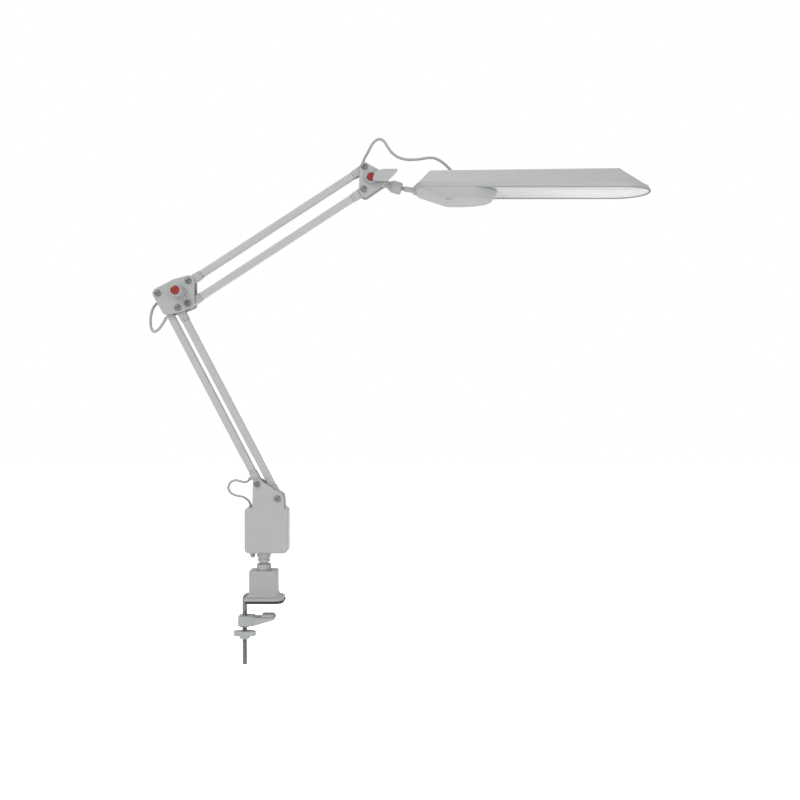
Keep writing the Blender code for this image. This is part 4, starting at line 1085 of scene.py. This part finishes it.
def make_underside_cover():
    """The battery-shaped cover under the neck end, flush with the shell's rim."""
    low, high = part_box("underside_cover")
    half, bottom = high.y, low.z
    tip = 55 * MM
    levels = [
        (256.5 * MM, 396 * MM, half, high.z, high.z, 18 * MM, tip),
        (258.5 * MM, 395.5 * MM, half, 692.5 * MM, 692.5 * MM, 18 * MM, tip),
        (285 * MM, 390.5 * MM, 42 * MM, 683.5 * MM, 683.5 * MM, 16 * MM, tip),
        (300 * MM, 386.5 * MM, 39 * MM, bottom + 0.8 * MM, bottom + 0.8 * MM, 14 * MM, 50 * MM),
        (303 * MM, 385 * MM, 38 * MM, bottom, bottom, 14 * MM, 48 * MM),
    ]
    make("Underside cover", shell_skin(levels, 1.2 * MM, -1.8 * MM), "underside_cover", sharp=30.0)


def make_diffuser():
    """The opal pane, with a bead round its edge that sits in the shell's rim."""
    low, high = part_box("diffuser")
    half, nose, tip = high.y, 4 * MM, 50 * MM
    levels = []
    # how far in from the pane's edge, and how far above its face
    for draw, rise in mm((0, 2.2), (0, 0.4), (0.5, 0), (2.4, 0), (3.0, 0.35)):
        z = low.z + rise
        levels.append((low.x + draw, high.x - draw, half - draw, z, z, nose, tip))
    rings = [head_ring(*level) for level in soften(levels, 0.2 * MM, 2)]
    make("Diffuser", skin(rings), "diffuser", sharp=40.0)


def make_switch():
    """A round push button, dished on its face, in a raised ring on the cover."""
    low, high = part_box("switch_button")
    spot, radius = centre("switch_button"), size("switch_button").x / 2
    face = -low.z
    profile = [(0.0, -high.z), (radius, -high.z), (radius, face - 0.7 * MM)]
    profile += arc((radius - 0.7 * MM, face - 0.7 * MM), 0.7 * MM, 10, 90, 5)
    profile += [(radius - 1.6 * MM, face - 0.15 * MM), (0.0, face - 0.45 * MM)]
    make("Switch button", turned(profile, (spot.x, spot.y, 0), (0, 0, -1), 64), "switch_button")
    base = -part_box("underside_cover")[0].z
    ring = rounded([(radius + 0.4 * MM, base - 0.6 * MM), (radius + 1.7 * MM, base - 0.6 * MM),
                    (radius + 1.5 * MM, base + 0.5 * MM), (radius + 0.4 * MM, base + 0.5 * MM)],
                   0.35 * MM, closed=True)
    made = turned(ring, (spot.x, spot.y, 0), (0, 0, -1), 64, closed=True)
    make("Switch surround", made, "underside_cover")


def make_neck_entry():
    """The boss where the neck rod enters the head's end."""
    ball, along = pivot("head_swivel"), axis("head_roll")
    start = (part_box("head_shell")[0].x - ball.x) / along.x
    ring = rounded(lift(start, (4.95, -0.8), (7, -0.8), (7.8, 5), (4.95, 5)), 0.5 * MM, closed=True)
    make("Neck entry", turned(ring, ball, along, 64, closed=True), "head_shell")


# --- cables ---
def cable(name, node, points, radius):
    """One stretch of a cable that runs from one body to the next, made as a fixed tube along the points."""
    made = piece(name, tube(points, radius), LOOKS["grey_cable"], None, node, slot="grey_cable")
    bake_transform(made)


def make_cables():
    base = smooth_route([(-22.4, 0, 161.8)] + BASE_CABLE_ROUTE)
    cable("Base cable", "base_cable", base, 2.1 * MM)
    elbow = smooth_route(ELBOW_CABLE_ROUTE)
    cable("Elbow cable", "elbow_cable", elbow, 2.3 * MM)
    head = smooth_route(HEAD_CABLE_ROUTE + [(320.4, 0, 727.4)])
    first, second = round(0.42 * len(head)), round(0.66 * len(head))
    cable("Head cable at the bracket", "head_cable", head[:first + 1], 2.3 * MM)
    cable("Head cable over the ball", "head_cable", head[first:second + 1], 2.3 * MM)
    cable("Head cable at the head", "head_cable", head[second:], 2.3 * MM)


# --- camera, floor and light ---
def make_camera():
    data = bpy.data.cameras.new("Camera")
    data.lens = CAMERA_LENS
    data.sensor_width = 36.0
    camera = bpy.data.objects.new("Camera", data)
    camera.location = CAMERA_SPOT
    camera.rotation_euler = (math.pi / 2, 0.0, 0.0)
    bpy.context.collection.objects.link(camera)
    bpy.context.scene.camera = camera


def area_light(name, spot, target, width, power):
    data = bpy.data.lights.new(name, "AREA")
    data.shape = "SQUARE"
    data.size = width
    data.energy = power
    light = bpy.data.objects.new(name, data)
    light.location = spot
    light.rotation_euler = (Vector(target) - Vector(spot)).to_track_quat("-Z", "Y").to_euler()
    bpy.context.collection.objects.link(light)


def make_studio():
    """A white floor under the clamp, white surroundings and three soft boxes."""
    floor_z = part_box("clamp_rod")[0].z - FLOOR_DROP
    bm = bmesh.new()
    bmesh.ops.create_grid(bm, x_segments=8, y_segments=8, size=6.0)
    bmesh.ops.translate(bm, verts=bm.verts, vec=(0.0, 0.0, floor_z))
    look = material("Studio floor", (0.9, 0.9, 0.9), 0.8, patches=1.5, mottle=0.005, grain=60.0, spots=0.05)
    shader = shader_of(look)
    shader.inputs["Emission Color"].default_value = WHITE
    shader.inputs["Emission Strength"].default_value = FLOOR_GLOW
    mesh = bpy.data.meshes.new("Floor")
    bm.to_mesh(mesh)
    bm.free()
    mesh.materials.append(look)
    floor = bpy.data.objects.new("Floor", mesh)
    bpy.context.collection.objects.link(floor)
    world = bpy.data.worlds.new("Studio")
    world.use_nodes = True
    sky = world.node_tree.nodes["Background"]
    sky.inputs["Color"].default_value = WHITE
    sky.inputs["Strength"].default_value = SKY
    bpy.context.scene.world = world
    bpy.context.scene.view_settings.view_transform = "Standard"
    area_light("Key", (-1.6, -1.6, 2.4), (0.1, 0.0, 0.4), 1.6, KEY_POWER)
    area_light("Top", (0.3, 0.2, 2.6), (0.2, 0.0, 0.4), 1.5, TOP_POWER)
    area_light("Fill", (1.5, -2.2, 0.5), (0.2, 0.0, 0.5), 1.8, FILL_POWER)


# --- putting it together ---
make_camera()
make_cables()
dress_frame()
make_clamp_base()
make_table_pad()
make_clamp_rod()
make_socket_bush()
make_lower_jaw()
make_jaw_pad()
make_thrust_washer()
make_wing_nut()
make_spindle()
make_box_shell("Box front", "box_front_shell", -1)
make_box_shell("Box rear", "box_rear_shell", 1)
make_gland()
make_grommet("Base grommet", "base_grommet", 2.1 * MM)
make_grommet("Head grommet", "head_grommet", 2.3 * MM)
make_screw("base_screw_outer")
make_screw("base_screw_inner")
make_arms()
make_elbow()
make_bracket()
make_knuckle()
make_collar()
make_stud()
make_head_shell()
make_underside_cover()
make_diffuser()
make_switch()
make_neck_entry()
make_studio()
